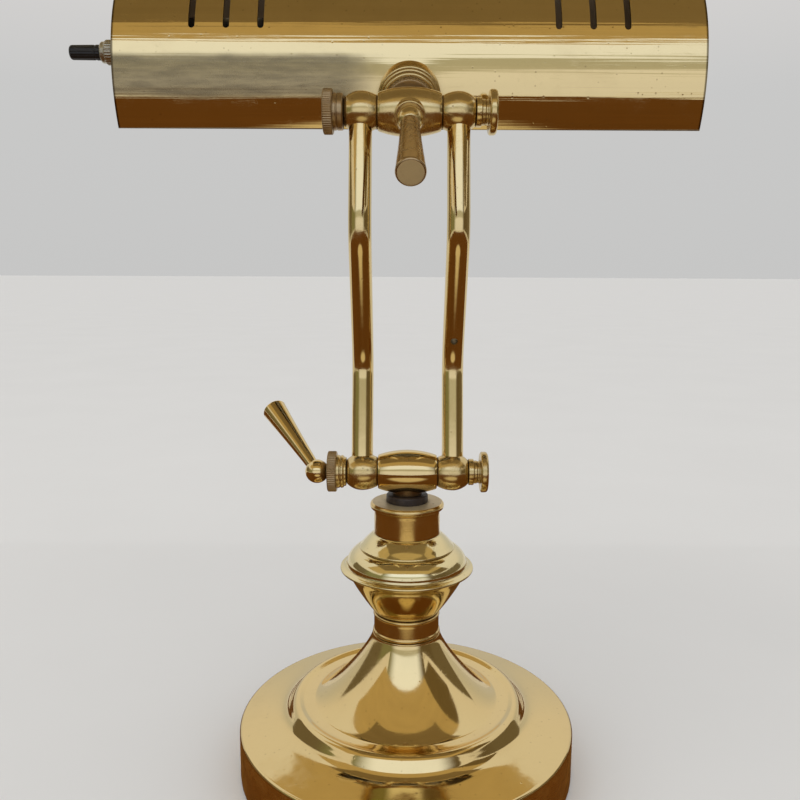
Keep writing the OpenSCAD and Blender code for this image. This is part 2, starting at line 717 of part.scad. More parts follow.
// Lower pivot
module lower_barrel() color(brass) difference() {
    union() {
        at_low_pivot() along_x(0) barrel();
        translate([0, 0, seat_z]) cylinder(d = barrel_seat_d, h = stud_grip + sheet_t);
    }
    at_low_pivot() along_x(-barrel_l) cylinder(r = bolt_r + fit_clear, h = 2 * barrel_l);
    translate([0, 0, seat_z - cut_past]) cylinder(r = stud_d / 2 + fit_clear, h = stud_grip + cut_past);
}

// A pivot bolt: its head and necks on the right, and its shank to a place on the left
module pivot_bolt(shank_end) {
    along_x(-shank_end) cylinder(r = bolt_r, h = shank_end + head_x);
    along_x(washer_x) cylinder(d = ring_in_d, h = ring_in_w);
    along_x(washer_x) cylinder(d = ring_out_d, h = ring_in_w + ring_out_w);
    along_x(head_x) turned(concat(
        [[0, 0]],
        oval([disc_d / 2 - head_edge_r, head_edge_r], head_edge_r, head_edge_r, 270, 360),
        oval([disc_d / 2 - head_edge_r, head_t - head_edge_r], head_edge_r, head_edge_r, 0, 90),
        [[0, head_t]]
    ));
}

// A knurled disc with its neck towards the knuckle
module knurled_disc(d, neck_d, neck_l, disc_t, hole_r) difference() {
    union() {
        cylinder(d = neck_d, h = neck_l);
        translate([0, 0, neck_l]) knurled(d, disc_t, knurl_teeth, knurl_h);
    }
    translate([0, 0, -cut_past]) cylinder(r = hole_r, h = neck_l + disc_t + 2 * cut_past);
}

module lower_pivot_bolt() color(aged_brass) at_low_pivot() pivot_bolt(ball_x - lever_bolt_end - face_gap);

module lower_knurled_washer() color(aged_brass) at_low_pivot() at_left() along_x(washer_x)
    knurled_disc(disc_d, knurl_neck_d, knurl_neck_l, knurl_t, bolt_r + fit_clear);

// Levers: the ball is at the origin, its flat is below it, and the handle leans from +Z towards +Y
module lever_ball(handle_angle, root_d) difference() {
    sphere(d = ball_d);
    translate([0, 0, -ball_flat - ball_d]) cylinder(d = 2 * ball_d, h = ball_d);
    rotate([-handle_angle, 0, 0]) translate([0, 0, handle_seat])
        cylinder(r = root_d / 2 + fit_clear, h = ball_d);
}

module lever_handle(handle_angle, root_d) {
    root_r = root_d / 2;
    end_r = handle_end_d / 2;
    neck_z = ball_r + fit_clear;
    rotate([-handle_angle, 0, 0]) turned(concat(
        [[0, handle_seat + fit_clear], [root_r, handle_seat + fit_clear], [root_r, neck_z]],
        oval([end_r - handle_edge_r, handle_l - handle_edge_r], handle_edge_r, handle_edge_r, 0, 90),
        [[0, handle_l]]
    ));
}

module lower_lever_ball() color(brass) at_low_ball() difference() {
    lever_ball(low_handle_angle, low_root_d);
    translate([0, 0, -ball_d]) cylinder(r = pivot_hole_r, h = ball_d - lever_bolt_end);
}

module lower_lever_handle() color(brass) at_low_ball() lever_handle(low_handle_angle, low_root_d);

module upper_lever_ball() color(brass) at_up_ball() {
    lever_ball(up_handle_angle, up_root_d);
    screw_l = up_ball_r - pivot_hole_r - screw_tip_gap;
    translate([0, 0, -screw_l]) cylinder(d = up_screw_d, h = screw_l);
}

module upper_lever_handle() color(brass) at_up_ball() lever_handle(up_handle_angle, up_root_d);

// Arms
module stretch(r, l) {
    cylinder(r = r, h = l);
    translate([0, 0, l]) children();
}

// A bend that turns the way ahead towards -Y. The tube draws in a little there, and the bend runs on
// a little into the straight stretches on both sides.
module bend(r, turn) {
    translate([0, -bend_r, 0]) rotate([90, 0, 90]) rotate([0, 0, -bend_lap])
        rotate_extrude(angle = turn + 2 * bend_lap) translate([bend_r, 0]) circle(r = r - bend_draw);
    translate([0, -bend_r, 0]) rotate([turn, 0, 0]) translate([0, bend_r, 0]) children();
}

// The bent line of an arm, from one distance beyond the lower pivot to the same below the upper pivot
module arm_line(r, from) at_low_pivot() rotate([-arm_end_lean, 0, 0]) translate([0, 0, from])
    stretch(r, arm_end_l - bend_l - from)
    bend(r, arm_turn)
    stretch(r, arm_mid_l - 2 * bend_l)
    mirror([0, 1, 0]) bend(r, arm_turn)
    stretch(r, arm_end_l - bend_l - from);

module arm_tube() difference() {
    arm_line(tube_r, tube_seat);
    arm_line(tube_r - tube_wall, tube_seat - cut_past);
}

module left_arm() color(brass) translate([-arm_x, 0, 0]) arm_tube();

module right_arm() color(brass) translate([arm_x, 0, 0]) difference() {
    arm_tube();
    at_low_pivot() translate([0, arm_end_l * sin(arm_end_lean), arm_end_l * cos(arm_end_lean)])
        rotate([arm_mid_lean, 0, 0]) translate([0, 0, drill_at]) rotate([90, 0, 0])
        cylinder(d = drill_d, h = tube_d);
}

// A knuckle on the right, with its socket along a lean from upright
module knuckle(lean) difference() {
    along_x(arm_x) swelling(knuckle_w, knuckle_d, knuckle_in_d, knuckle_out_d);
    along_x(0) cylinder(r = pivot_hole_r, h = knuckle_end_x + cut_past);
    translate([arm_x, 0, 0]) rotate([-lean, 0, 0]) translate([0, 0, tube_seat])
        cylinder(r = tube_r + fit_clear, h = knuckle_d);
}

module lower_left_knuckle() color(brass) at_low_pivot() at_left() knuckle(arm_end_lean);

module lower_right_knuckle() color(brass) at_low_pivot() knuckle(arm_end_lean);

module upper_left_knuckle() color(brass) at_up_pivot() at_left() knuckle(180 + arm_end_lean);

module upper_right_knuckle() color(brass) at_up_pivot() knuckle(180 + arm_end_lean);

module arm_lead() color(lead_grey) translate([arm_x, 0, 0]) arm_line(arm_lead_d / 2, tube_seat);

// Upper pivot
module upper_pivot_bolt() color(aged_brass) at_up_pivot() pivot_bolt(knurl_end_x);

module upper_thumb_nut() color(aged_brass) at_up_pivot() at_left() along_x(washer_x)
    knurled_disc(disc_d, knurl_neck_d, knurl_neck_l, knurl_t, pivot_hole_r);

module upper_barrel() color(brass) difference() {
    union() {
        at_up_pivot() along_x(0) barrel();
        at_neck() cylinder(d = neck_boss_d, h = neck_boss_l);
        at_up_pivot() rotate([90 + up_screw_slope, 0, 0]) cylinder(d = lever_seat_d, h = lever_seat_r);
    }
    at_up_pivot() along_x(-barrel_l) cylinder(r = pivot_hole_r, h = 2 * barrel_l);
    at_neck() translate([0, 0, neck_stud_in - fit_clear])
        cylinder(r = neck_stud_d / 2 + fit_clear, h = neck_reach);
    at_up_pivot() rotate([90 + up_screw_slope, 0, 0])
        cylinder(r = up_screw_d / 2 + run_clear, h = lever_seat_r + cut_past);
}

// Neck
module neck_stud() color(steel) at_neck() translate([0, 0, neck_stud_in])
    tube(neck_stud_d / 2, neck_bore_d / 2, neck_stud_top - neck_stud_in);

module neck_knurled_ring() color(aged_brass) at_neck() translate([0, 0, neck_ring_z]) difference() {
    knurled(neck_ring_d, neck_ring_t, knurl_teeth, knurl_h);
    translate([0, 0, -cut_past])
        cylinder(r = neck_stud_d / 2 + run_clear, h = neck_ring_t + 2 * cut_past);
}

module neck_locknut() color(steel) at_neck() translate([0, 0, neck_nut_z])
    hex_nut(neck_nut_af, neck_nut_h, neck_stud_d / 2 + fit_clear);

// The flange is cut to sit on the round back of the trough
module neck_flange() color(brass) difference() {
    at_neck() translate([0, 0, neck_flange_z]) {
        wide_z = neck_reach - neck_flange_t - neck_flange_z;
        cylinder(d = neck_flange_top_d, h = neck_reach - neck_flange_z);
        translate([0, 0, wide_z]) bead(neck_flange_d / 2 - neck_bead_r, neck_bead_r);
        translate([0, 0, wide_z - neck_bead_r])
            cylinder(r = neck_flange_d / 2 - neck_bead_r, h = neck_flange_t);
        translate([0, 0, wide_z]) cylinder(d = neck_flange_d, h = neck_flange_t + neck_flange_d / 2);
    }
    at_neck() cylinder(r = neck_stud_d / 2 + run_clear, h = neck_reach + shade_r);
    at_shade() along_x(-shade_l / 2) cylinder(r = shade_r + fit_clear, h = shade_l, $fn = large_fn);
}

module neck_inner_washer() color(steel) difference() {
    intersection() {
        at_neck() cylinder(d = inner_washer_d, h = inner_washer_z);
        at_shade() along_x(-shade_l / 2) cylinder(r = shade_in_r - fit_clear, h = shade_l, $fn = large_fn);
    }
    at_neck() cylinder(r = neck_stud_d / 2 + run_clear, h = neck_reach + shade_r);
}

// Shade: a sector round the trough, centred on a turn from its middle
module sector(arc, turn) rotate([90, 0, 90]) rotate([0, 0, 90 + turn - arc / 2])
    rotate_extrude(angle = arc) children();

module vent_slot(x) {
    sector(slot_arc, 0) translate([shade_in_r - cut_past, x - slot_w / 2])
        square([shade_t + 2 * cut_past, slot_w]);
    for (turn = [-slot_arc / 2, slot_arc / 2])
        rotate([turn, 0, 0]) translate([x, 0, shade_in_r - cut_past])
            cylinder(r = slot_w / 2 + fit_clear, h = shade_t + 2 * cut_past);
}

module shade_shell() color(brass) difference() {
    at_shade() {
        sector(shade_arc, 0) translate([shade_in_r, -shade_l / 2]) square([shade_t, shade_l]);
        for (side = [-1, 1], i = [0:slot_count])
            sector(shade_arc, 0)
                translate([shade_in_r - rib_h, side * (slot_first + (i - 1 / 2) * slot_pitch) - rib_w / 2])
                    square([shade_t + 2 * rib_h, rib_w]);
        for (side = [-1, 1])
            sector(hem_arc, side * ((shade_arc - hem_arc) / 2 - hem_back))
                translate([shade_in_r - shade_t, -hem_l / 2]) square([1.5 * shade_t, hem_l]);
    }
    at_shade() for (side = [-1, 1], i = [0:slot_count - 1]) vent_slot(side * (slot_first + i * slot_pitch));
    at_neck() cylinder(r = neck_stud_d / 2 + run_clear, h = neck_nut_z);
}

// An end cap on the right: a plate with a flange that lies inside the trough
module end_cap() {
    sector(shade_arc, 0) translate([0, cap_in_x]) square([cap_r, cap_t]);
    sector(shade_arc, 0) translate([cap_r - cap_t, cap_x - cap_flange]) square([cap_t, cap_flange]);
}

module right_end_cap() color(brass) at_shade() end_cap();

module left_end_cap() color(brass) difference() {
    at_shade() mirror([1, 0, 0]) end_cap();
    at_switch() along_x(-cap_x - cut_past) cylinder(r = switch_hole_r, h = cap_t + 2 * cut_past);
    at_lamp() along_x(-cap_x - cut_past) cylinder(r = rod_d / 2 + fit_clear, h = cap_t + 2 * cut_past);
}

// Lamp holder on its nipple in the left end cap
module holder_nipple() color(steel) at_lamp() along_x(-cap_x - holder_nut_h - rod_end)
    tube(rod_d / 2, rod_bore_d / 2, cap_x + holder_nut_h + rod_end + holder_x + holder_floor);

module holder_nuts() color(brass) at_lamp() {
    along_x(-cap_x - holder_nut_h) hex_nut(nut_af, holder_nut_h, rod_d / 2 + fit_clear);
    along_x(-cap_in_x) hex_nut(nut_af, holder_nut_h, rod_d / 2 + fit_clear);
}

module lamp_holder() color(black) at_lamp() along_x(holder_x) difference() {
    cylinder(d = holder_d, h = holder_l);
    translate([0, 0, holder_floor]) cylinder(r = holder_d / 2 - holder_wall, h = holder_l);
    translate([0, 0, -cut_past]) cylinder(r = rod_d / 2 + fit_clear, h = holder_floor + 2 * cut_past);
}

module screw_shell() color(brass) at_lamp() along_x(holder_x + holder_floor)
    tube(shell_r, shell_r - screw_shell_t, holder_l - holder_floor - rod_end);

module bulb_cap() color(aged_brass) at_lamp() along_x(bulb_cap_x) difference() {
    cylinder(r = bulb_cap_r, h = holder_end_x - bulb_cap_x);
    translate([0, 0, holder_floor]) cylinder(r = bulb_cap_r - screw_shell_t, h = holder_end_x - bulb_cap_x);
}

// Outline of the lamp at a depth in its glass
function bulb_path(depth) = concat(
    [[bulb_cap_r - depth, 0], [bulb_d / 2 - depth, bulb_shoulder]],
    oval([0, bulb_l - bulb_d / 2], bulb_d / 2 - depth, bulb_d / 2 - depth, 0, 90)
);

module bulb_glass() color(frosted) at_lamp() along_x(holder_end_x)
    turned(concat(bulb_path(0), reversed(bulb_path(glass_t))));

// Switch in the left end cap
module switch_body() color(black) at_switch() difference() {
    union() {
        along_x(-cap_in_x) cylinder(d = switch_d, h = switch_l);
        along_x(knob_x + face_gap) cylinder(d = switch_neck_d, h = abs(knob_x) - cap_in_x);
    }
    along_x(knob_x) cylinder(r = spindle_d / 2 + run_clear, h = abs(knob_x) - cap_in_x + switch_l / 2);
}

module switch_washer() color(aged_brass) at_switch() along_x(-cap_x - switch_washer_t)
    tube(switch_washer_d / 2, switch_hole_r, switch_washer_t);

module switch_nut() color(aged_brass) at_switch() along_x(-cap_x - switch_washer_t - switch_nut_h)
    tube(switch_nut_d / 2, switch_hole_r, switch_nut_h);

module switch_knob() color(black) at_switch() {
    along_x(knob_x) mirror([0, 0, 1]) difference() {
        turned([[0, 0], [knob_d / 2, 0], [knob_end_d / 2, knob_l - cut_past],
            [knob_end_d / 2 - cut_past / 2, knob_l], [0, knob_l]]);
        for (i = [0:knob_ribs - 1]) rotate([0, 0, 360 * i / knob_ribs])
            translate([knob_d / 2, 0, cut_past]) cylinder(r = knob_rib_h, h = knob_l);
    }
    along_x(knob_x) cylinder(d = spindle_d, h = abs(knob_x) - cap_in_x + switch_l / 2 - face_gap);
}

// A lead of a round section along a smooth curve that follows a few guide points
function curve_at(p, u) = len(p) == 1 ? p[0] :
    curve_at([for (i = [0:len(p) - 2]) p[i] + u * (p[i + 1] - p[i])], u);
module lead(guides, r) {
    line = [for (i = [0:lead_steps]) curve_at(guides, i / lead_steps)];
    skin = [
        for (i = [0:lead_steps])
            let (way = along(line, i), a = unit(cross(way, [0, 0, 1])), b = cross(way, a))
            for (k = [0:lead_sides - 1])
                let (w = 360 * k / lead_sides) line[i] + r * (cos(w) * a + sin(w) * b)
    ];
    last = lead_steps * lead_sides;
    polyhedron(skin, concat(
        [[for (k = [lead_sides - 1:-1:0]) k], [for (k = [0:lead_sides - 1]) last + k]],
        [for (i = [0:lead_steps - 1], k = [0:lead_sides - 1])
            let (j = i * lead_sides + k, n = i * lead_sides + (k + 1) % lead_sides)
            [j, n, n + lead_sides, j + lead_sides]]
    ));
}

// A place inside the trough, at a turn from its middle and a distance from its axis
function in_trough(x, turn, at) = [x, -at * sin(turn), at * cos(turn)];

// The leads run from the neck along the back of the trough to the switch
module shade_lead() color(lead_grey) at_shade() {
    r = shade_lead_d / 2;
    lie_r = shade_in_r - shade_lead_d;
    switch_at = shade_r - switch_in;
    mouth = in_trough(0, neck_turn, shade_r) + (neck_stud_top - neck_reach + seat_gap) * neck_way;
    switch_x = -cap_in_x + switch_l + seat_gap;
    lead([
        mouth,
        mouth + lead_bow * neck_way,
        mouth + lead_bow * [-1, 0, 0],
        in_trough(switch_x / 2, switch_angle, lie_r),
        in_trough(switch_x + lead_bow, switch_angle, switch_at),
        in_trough(switch_x, switch_angle, switch_at)
    ], r);
}

base_cover();
base_weight();
base_felt();
base_washer();
base_nut();
cord_bush();
column_rod();
column_lead();
lower_collar();
vase_bottom();
vase_top();
upper_collar();
swivel_bushing();
swivel_stud();
swivel_clip();
lower_barrel();
lower_pivot_bolt();
lower_knurled_washer();
lower_lever_ball();
lower_lever_handle();
left_arm();
right_arm();
lower_left_knuckle();
lower_right_knuckle();
upper_left_knuckle();
upper_right_knuckle();
arm_lead();
upper_pivot_bolt();
upper_thumb_nut();
upper_barrel();
neck_stud();
neck_locknut();
neck_knurled_ring();
upper_lever_ball();
upper_lever_handle();
shade_shell();
left_end_cap();
right_end_cap();
neck_flange();
neck_inner_washer();
holder_nipple();
holder_nuts();
lamp_holder();
screw_shell();
bulb_cap();
bulb_glass();
switch_body();
switch_washer();
switch_nut();
shade_lead();
switch_knob();
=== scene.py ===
import json
import math

import bmesh
import bpy
from mathutils import Matrix, Vector
from mathutils.geometry import delaunay_2d_cdt


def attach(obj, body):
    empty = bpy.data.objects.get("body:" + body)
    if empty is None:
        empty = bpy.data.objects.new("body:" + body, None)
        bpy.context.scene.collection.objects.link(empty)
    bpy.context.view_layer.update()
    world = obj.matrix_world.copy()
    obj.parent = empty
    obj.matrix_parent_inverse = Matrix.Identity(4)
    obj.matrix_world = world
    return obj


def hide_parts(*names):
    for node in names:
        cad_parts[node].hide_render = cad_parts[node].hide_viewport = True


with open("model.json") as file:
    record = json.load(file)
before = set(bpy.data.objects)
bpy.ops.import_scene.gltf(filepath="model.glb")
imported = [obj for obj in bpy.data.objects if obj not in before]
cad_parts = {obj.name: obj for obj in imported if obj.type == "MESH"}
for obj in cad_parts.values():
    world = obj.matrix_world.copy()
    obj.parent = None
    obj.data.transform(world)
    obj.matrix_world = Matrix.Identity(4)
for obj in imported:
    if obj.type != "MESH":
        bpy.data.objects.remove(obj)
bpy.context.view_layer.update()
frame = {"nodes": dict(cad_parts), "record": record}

# Sizes of the lamp in millimetres and its angles, the same as in its construction
MM = 0.001
JOINT_AT = {joint["name"]: Vector([c / MM for c in joint["pos_m"]])
            for joint in frame["record"]["behaviour"]["joints"]}
LOW_PIVOT = JOINT_AT["arm_tilt"]
UP_PIVOT = JOINT_AT["shade_tilt"]
BASE_R = 76.0
COVER_TOP = 63.70
VASE_Z = 73.70
VASE_TOP_Z = 95.3
UPPER_COLLAR_Z = 110.70
COLLAR_TOP_Z = 124.90
SEAT_Z = 128.32
BARREL_L = 26.0
BARREL_R = 9.75
BARREL_END_R = 7.5
BORE_R = 3.1
KNUCKLE_W = 13.8
KNUCKLE_R = 8.2
ARM_X = 20.02
WASHER_X = 27.04
KNURL_END_X = 35.24
BALL_X = 40.06
BALL_R = 5.25
BALL_FLAT = 4.7
LOW_LEVER_TURN = -38.0
LOW_LEVER_LEAN = 58.0
UP_SCREW_TURN = 111.0
UP_BALL_REACH = 15.62
UP_LEVER_LEAN = 13.0
LEVER_END_R = 5.6
SHANK_SHORT = 1.82
TUBE_R = 4.75
TUBE_WALL = 1.0
ARM_END_L = 49.5
ARM_MID_L = 62.0
ARM_END_LEAN = math.radians(13)
ARM_MID_LEAN = math.radians(26.5)
BEND_R = 26.0
DRILL_R = 1.6
DRILL_FROM_BEND = 13.0
NECK_SLOPE = 28.0
NECK_TILT = 16.0
NECK_REACH = 21.4
SHADE_R = 59.0
SHADE_T = 0.9
SHADE_L = 254.0
SHADE_ROLL = 25.5
SHADE_HALF = math.radians(90)
NECK_FROM_TOP = math.radians(76.5)
VENT_X = 63.5
VENT_PITCH = 14.7
VENT_W = 2.75
VENT_HALF = math.radians(48)
CAP_X = 126.2
LAMP_RISE = 18.0
HOLDER_X = -112.2
HOLDER_END_X = -68.2
SWITCH_TURN = 56.4
SWITCH_R = 50.0
KNOB_X = -133.92


def turn(degrees, axis):
    return Matrix.Rotation(math.radians(degrees), 4, axis)


def shift(x, y, z):
    return Matrix.Translation((x, y, z))


# Places of the sub-assemblies
UPRIGHT = Matrix.Identity(4)
AT_LOW = Matrix.Translation(LOW_PIVOT)
AT_UP = Matrix.Translation(UP_PIVOT)
AT_NECK = AT_UP @ turn(NECK_SLOPE - 90, "X")
AT_SHADE = (AT_NECK @ shift(0, 0, NECK_REACH) @ turn(-NECK_TILT, "X") @ shift(0, 0, SHADE_R)
            @ turn(90 - NECK_SLOPE + NECK_TILT + SHADE_ROLL, "X"))
AT_LAMP = AT_SHADE @ shift(0, 0, LAMP_RISE)
AT_SWITCH = AT_SHADE @ turn(SWITCH_TURN, "X") @ shift(0, 0, SWITCH_R)
AT_LOW_BALL = AT_LOW @ shift(-BALL_X, 0, 0) @ turn(-90, "Y") @ turn(LOW_LEVER_TURN, "Z")
AT_UP_SCREW = AT_UP @ turn(UP_SCREW_TURN, "X")
AT_UP_BALL = AT_UP_SCREW @ shift(0, 0, UP_BALL_REACH) @ turn(180, "Z")
TO_RIGHT = turn(90, "Y")
TO_LEFT = turn(-90, "Y")


# Outlines, as lists of (radius, height)
def arc(c, rx, ry, start, end, steps=12):
    """An arc about a centre, from one angle to another."""
    angles = [math.radians(start + (end - start) * i / steps) for i in range(steps + 1)]
    return [(c[0] + rx * math.cos(a), c[1] + ry * math.sin(a)) for a in angles]


def flowing(points, steps=8):
    """A smooth line through all the points."""
    line = []
    last = len(points) - 1
    for i in range(last):
        a, b, c, d = points[max(i - 1, 0)], points[i], points[i + 1], points[min(i + 2, last)]
        for k in range(steps):
            t = k / steps
            line.append(tuple(
                0.5 * (2 * b[j] + (c[j] - a[j]) * t + (2 * a[j] - 5 * b[j] + 4 * c[j] - d[j]) * t * t
                       + (3 * b[j] - a[j] - 3 * c[j] + d[j]) * t ** 3) for j in (0, 1)))
    return line + [tuple(points[-1])]


def eased(points, radius=0.35, steps=5):
    """The same outline with every corner rounded. A third number on a point is its own radius."""
    line = []
    for i, p in enumerate(points):
        if i in (0, len(points) - 1):
            line.append(p[:2])
            continue
        corner = Vector(p[:2])
        back, ahead = Vector(points[i - 1][:2]) - corner, Vector(points[i + 1][:2]) - corner
        reach = min(p[2] if len(p) > 2 else radius, 0.48 * back.length, 0.48 * ahead.length)
        a, b = corner + back.normalized() * reach, corner + ahead.normalized() * reach
        for k in range(steps + 1):
            t = k / steps
            line.append(tuple((1 - t) ** 2 * a + 2 * t * (1 - t) * corner + t * t * b))
    return line


# Making pieces
TOOTH_STEPS = 8
NO_TEETH = 1e9


def finished_mesh(name, bm, crease=32):
    """A smooth piece whose edges stay sharp past the crease angle."""
    bmesh.ops.recalc_face_normals(bm, faces=bm.faces)
    mesh = bpy.data.meshes.new(name)
    bm.to_mesh(mesh)
    bm.free()
    mesh.shade_smooth()
    mesh.set_sharp_from_angle(angle=math.radians(crease))
    piece = bpy.data.objects.new(name, mesh)
    bpy.context.collection.objects.link(piece)
    return piece


def turned(name, outline, place, around=144, loop=False, span=360, start=0, teeth=0, tooth_h=0.0,
           tooth_from=NO_TEETH, crease=32):
    """A piece turned round the local Z axis of its place."""
    bm = bmesh.new()
    marks = bm.verts.layers.float_vector.new("turning")
    full = span == 360
    if teeth:
        around = teeth * TOOTH_STEPS
    count = around if full else around + 1
    rings = []
    for r, z in outline:
        if r < 1e-5:
            ring = [bm.verts.new(place @ Vector((0, 0, z)) * MM)]
        else:
            ring = []
            for k in range(count):
                a = math.radians(start) + math.radians(span) * k / around
                cut = 0.0
                if teeth and r > tooth_from:
                    wave = abs((k / TOOTH_STEPS) % 1 - 0.5) * 2
                    cut = tooth_h * min(1, max(0, 1.5 * wave - 0.25))
                at = Vector(((r - cut) * math.cos(a), (r - cut) * math.sin(a), z))
                ring.append(bm.verts.new(place @ at * MM))
        for v in ring:
            v[marks] = (r, z, 0)
        rings.append(ring)
    pairs = list(zip(rings, rings[1:])) + ([(rings[-1], rings[0])] if loop else [])
    for low, high in pairs:
        for k in range(around):
            n = (k + 1) % count if full else k + 1
            quad = [low[k % len(low)], low[n % len(low)], high[n % len(high)], high[k % len(high)]]
            quad = [v for i, v in enumerate(quad) if v not in quad[:i]]
            if len(quad) > 2:
                bm.faces.new(quad)
    if not full and loop:
        for end in (0, -1):
            bm.faces.new([ring[end if len(ring) > 1 else 0] for ring in rings])
    return finished_mesh(name, bm, crease)


def prism(name, section, x0, x1, place, crease=32):
    """A section of (y, z) points drawn out along the local X axis of its place."""
    bm = bmesh.new()
    ends = [[bm.verts.new(place @ Vector((x, y, z)) * MM) for y, z in section] for x in (x0, x1)]
    for k in range(len(section)):
        n = (k + 1) % len(section)
        bm.faces.new([ends[0][k], ends[0][n], ends[1][n], ends[1][k]])
    for end in ends:
        bm.faces.new(end)
    return finished_mesh(name, bm, crease)


def ring_of(c, rx, ry, steps):
    """A closed round or oval loop."""
    angles = [2 * math.pi * i / steps for i in range(steps)]
    return [(c[0] + rx * math.cos(a), c[1] + ry * math.sin(a)) for a in angles]


def inside(p, loop):
    """Tells whether a point lies within a closed loop."""
    hit = False
    for (ax, ay), (bx, by) in zip(loop, loop[1:] + loop[:1]):
        if (ay > p[1]) != (by > p[1]) and p[0] < (bx - ax) * (p[1] - ay) / (by - ay) + ax:
            hit = not hit
    return hit


FACING_STEP = 0.01
PROBE_OUT = 0.05
PROBE_SHARE = 1e-3


def pierced_sheet(name, across, along, steps, holes, lay, thick, lining=None):
    """A sheet with cut-outs. lay(u, v, depth) gives a place on it, at a depth under its outside."""
    us = [across[0] + (across[1] - across[0]) * i / steps[0] for i in range(steps[0] + 1)]
    vs = [along[0] + (along[1] - along[0]) * i / steps[1] for i in range(steps[1] + 1)]
    rim = ([(u, vs[0]) for u in us] + [(us[-1], v) for v in vs[1:]] + [(u, vs[-1]) for u in us[-2::-1]]
           + [(us[0], v) for v in vs[-2:0:-1]])
    loops = [rim] + holes
    flat, edges = [], []
    for loop in loops:
        first = len(flat)
        flat += loop
        edges += [(first + i, first + (i + 1) % len(loop)) for i in range(len(loop))]
    boxes = []
    for hole in holes:
        hole_us, hole_vs = zip(*hole)
        boxes.append((min(hole_us), max(hole_us), min(hole_vs), max(hole_vs)))
    keep = min((across[1] - across[0]) / steps[0], (along[1] - along[0]) / steps[1]) * 0.3
    for u in us[1:-1]:
        for v in vs[1:-1]:
            near = [h for h, b in zip(holes, boxes)
                    if b[0] - keep < u < b[1] + keep and b[2] - keep < v < b[3] + keep]
            if not any(inside((u, v), h) or min((u - a) ** 2 + (v - b) ** 2 for a, b in h) < keep * keep
                       for h in near):
                flat.append((u, v))
    points, _, faces, *_ = delaunay_2d_cdt([Vector(p) for p in flat], edges, [], 0, 1e-5)
    kept = []
    for f in faces:
        c = (sum(points[i][0] for i in f) / 3, sum(points[i][1] for i in f) / 3)
        if not any(b[0] <= c[0] <= b[1] and b[2] <= c[1] <= b[3] and inside(c, h)
                   for h, b in zip(holes, boxes)):
            kept.append(list(f))

    def facing(u, v):
        du = lay(u + FACING_STEP, v, 0) - lay(u - FACING_STEP, v, 0)
        dv = lay(u, v + FACING_STEP, 0) - lay(u, v - FACING_STEP, 0)
        return du.cross(dv).normalized()

    side = 1 if facing(*points[0]).dot(lay(*points[0], 0) - lay(*points[0], 1)) > 0 else -1
    verts, normals, polys, lined = [], [], [], []
    for depth, way in ((0, side), (thick, -side)):
        first = len(verts)
        if depth:
            lined = [len(polys), len(polys) + len(kept)]
        for u, v in points:
            verts.append(lay(u, v, depth) * MM)
            normals.append(facing(u, v) * way)
        polys += [[first + i for i in (f if way > 0 else f[::-1])] for f in kept]
    for loop in loops:
        first = len(verts)
        size = len(loop)
        middle = [sum(p[j] for p in loop) / size for j in (0, 1)]
        for i, (u, v) in enumerate(loop):
            ahead, behind = loop[(i + 1) % size], loop[i - 1]
            run = lay(*ahead, 0) - lay(*behind, 0)
            out = run.cross(facing(u, v)).normalized()
            probe = lay(u, v, 0) + out * PROBE_OUT
            outward = lay(u + (u - middle[0]) * PROBE_SHARE, v + (v - middle[1]) * PROBE_SHARE, 0)
            if (probe - outward).length > PROBE_OUT:
                out = -out
            if loop is not rim:
                out = -out
            for depth in (0, thick):
                verts.append(lay(u, v, depth) * MM)
                normals.append(out)
        for i in range(size):
            n = (i + 1) % size
            polys.append([first + 2 * i, first + 2 * n, first + 2 * n + 1, first + 2 * i + 1])
    mesh = bpy.data.meshes.new(name)
    mesh.from_pydata(verts, [], polys)
    mesh.update()
    mesh.shade_smooth()
    if lining:
        for polygon in mesh.polygons[lined[0]:lined[1]]:
            polygon.material_index = 1
    mesh.normals_split_custom_set_from_vertices([tuple(n) for n in normals])
    piece = bpy.data.objects.new(name, mesh)
    bpy.context.collection.objects.link(piece)
    return piece


# Finishes
FLOAT, COLOUR = "NodeSocketFloat", "NodeSocketColor"


def effect(name, inputs, outputs):
    """A group of nodes with named sockets. An input that is a tuple is a colour."""
    group = bpy.data.node_groups.new(name, "ShaderNodeTree")
    for label, value in inputs.items():
        kind = COLOUR if isinstance(value, tuple) else FLOAT
        group.interface.new_socket(name=label, in_out="INPUT", socket_type=kind).default_value = value
    for label in outputs:
        kind = COLOUR if label == "Color" else FLOAT
        group.interface.new_socket(name=label, in_out="OUTPUT", socket_type=kind)
    return group, group.nodes.new("NodeGroupInput").outputs, group.nodes.new("NodeGroupOutput").inputs


def put_out(group, out, **results):
    """Links each result to the group's output of that name."""
    for label, value in results.items():
        group.links.new(value, out[label])


def node(tree, kind, wires=None, **settings):
    """One node with its settings, and with values or links for its sockets."""
    n = tree.nodes.new(kind)
    for key, value in settings.items():
        setattr(n, key, value)
    for key, value in (wires or {}).items():
        if isinstance(value, bpy.types.NodeSocket):
            tree.links.new(value, n.inputs[key])
        else:
            n.inputs[key].default_value = value
    return n


def maths(tree, operation, a, b=None, c=None, clamp=False):
    wires = {i: v for i, v in enumerate((a, b, c)) if v is not None}
    return node(tree, "ShaderNodeMath", wires, operation=operation, use_clamp=clamp).outputs[0]


def product(tree, a, b):
    return maths(tree, "MULTIPLY", a, b)


def scaled_sum(tree, a, factor, b, clamp=False):
    return maths(tree, "MULTIPLY_ADD", a, factor, b, clamp)


def spread(tree, value, low, high, to_low=0.0, to_high=1.0):
    return node(tree, "ShaderNodeMapRange", {0: value, 1: low, 2: high, 3: to_low, 4: to_high},
                interpolation_type="SMOOTHSTEP").outputs[0]


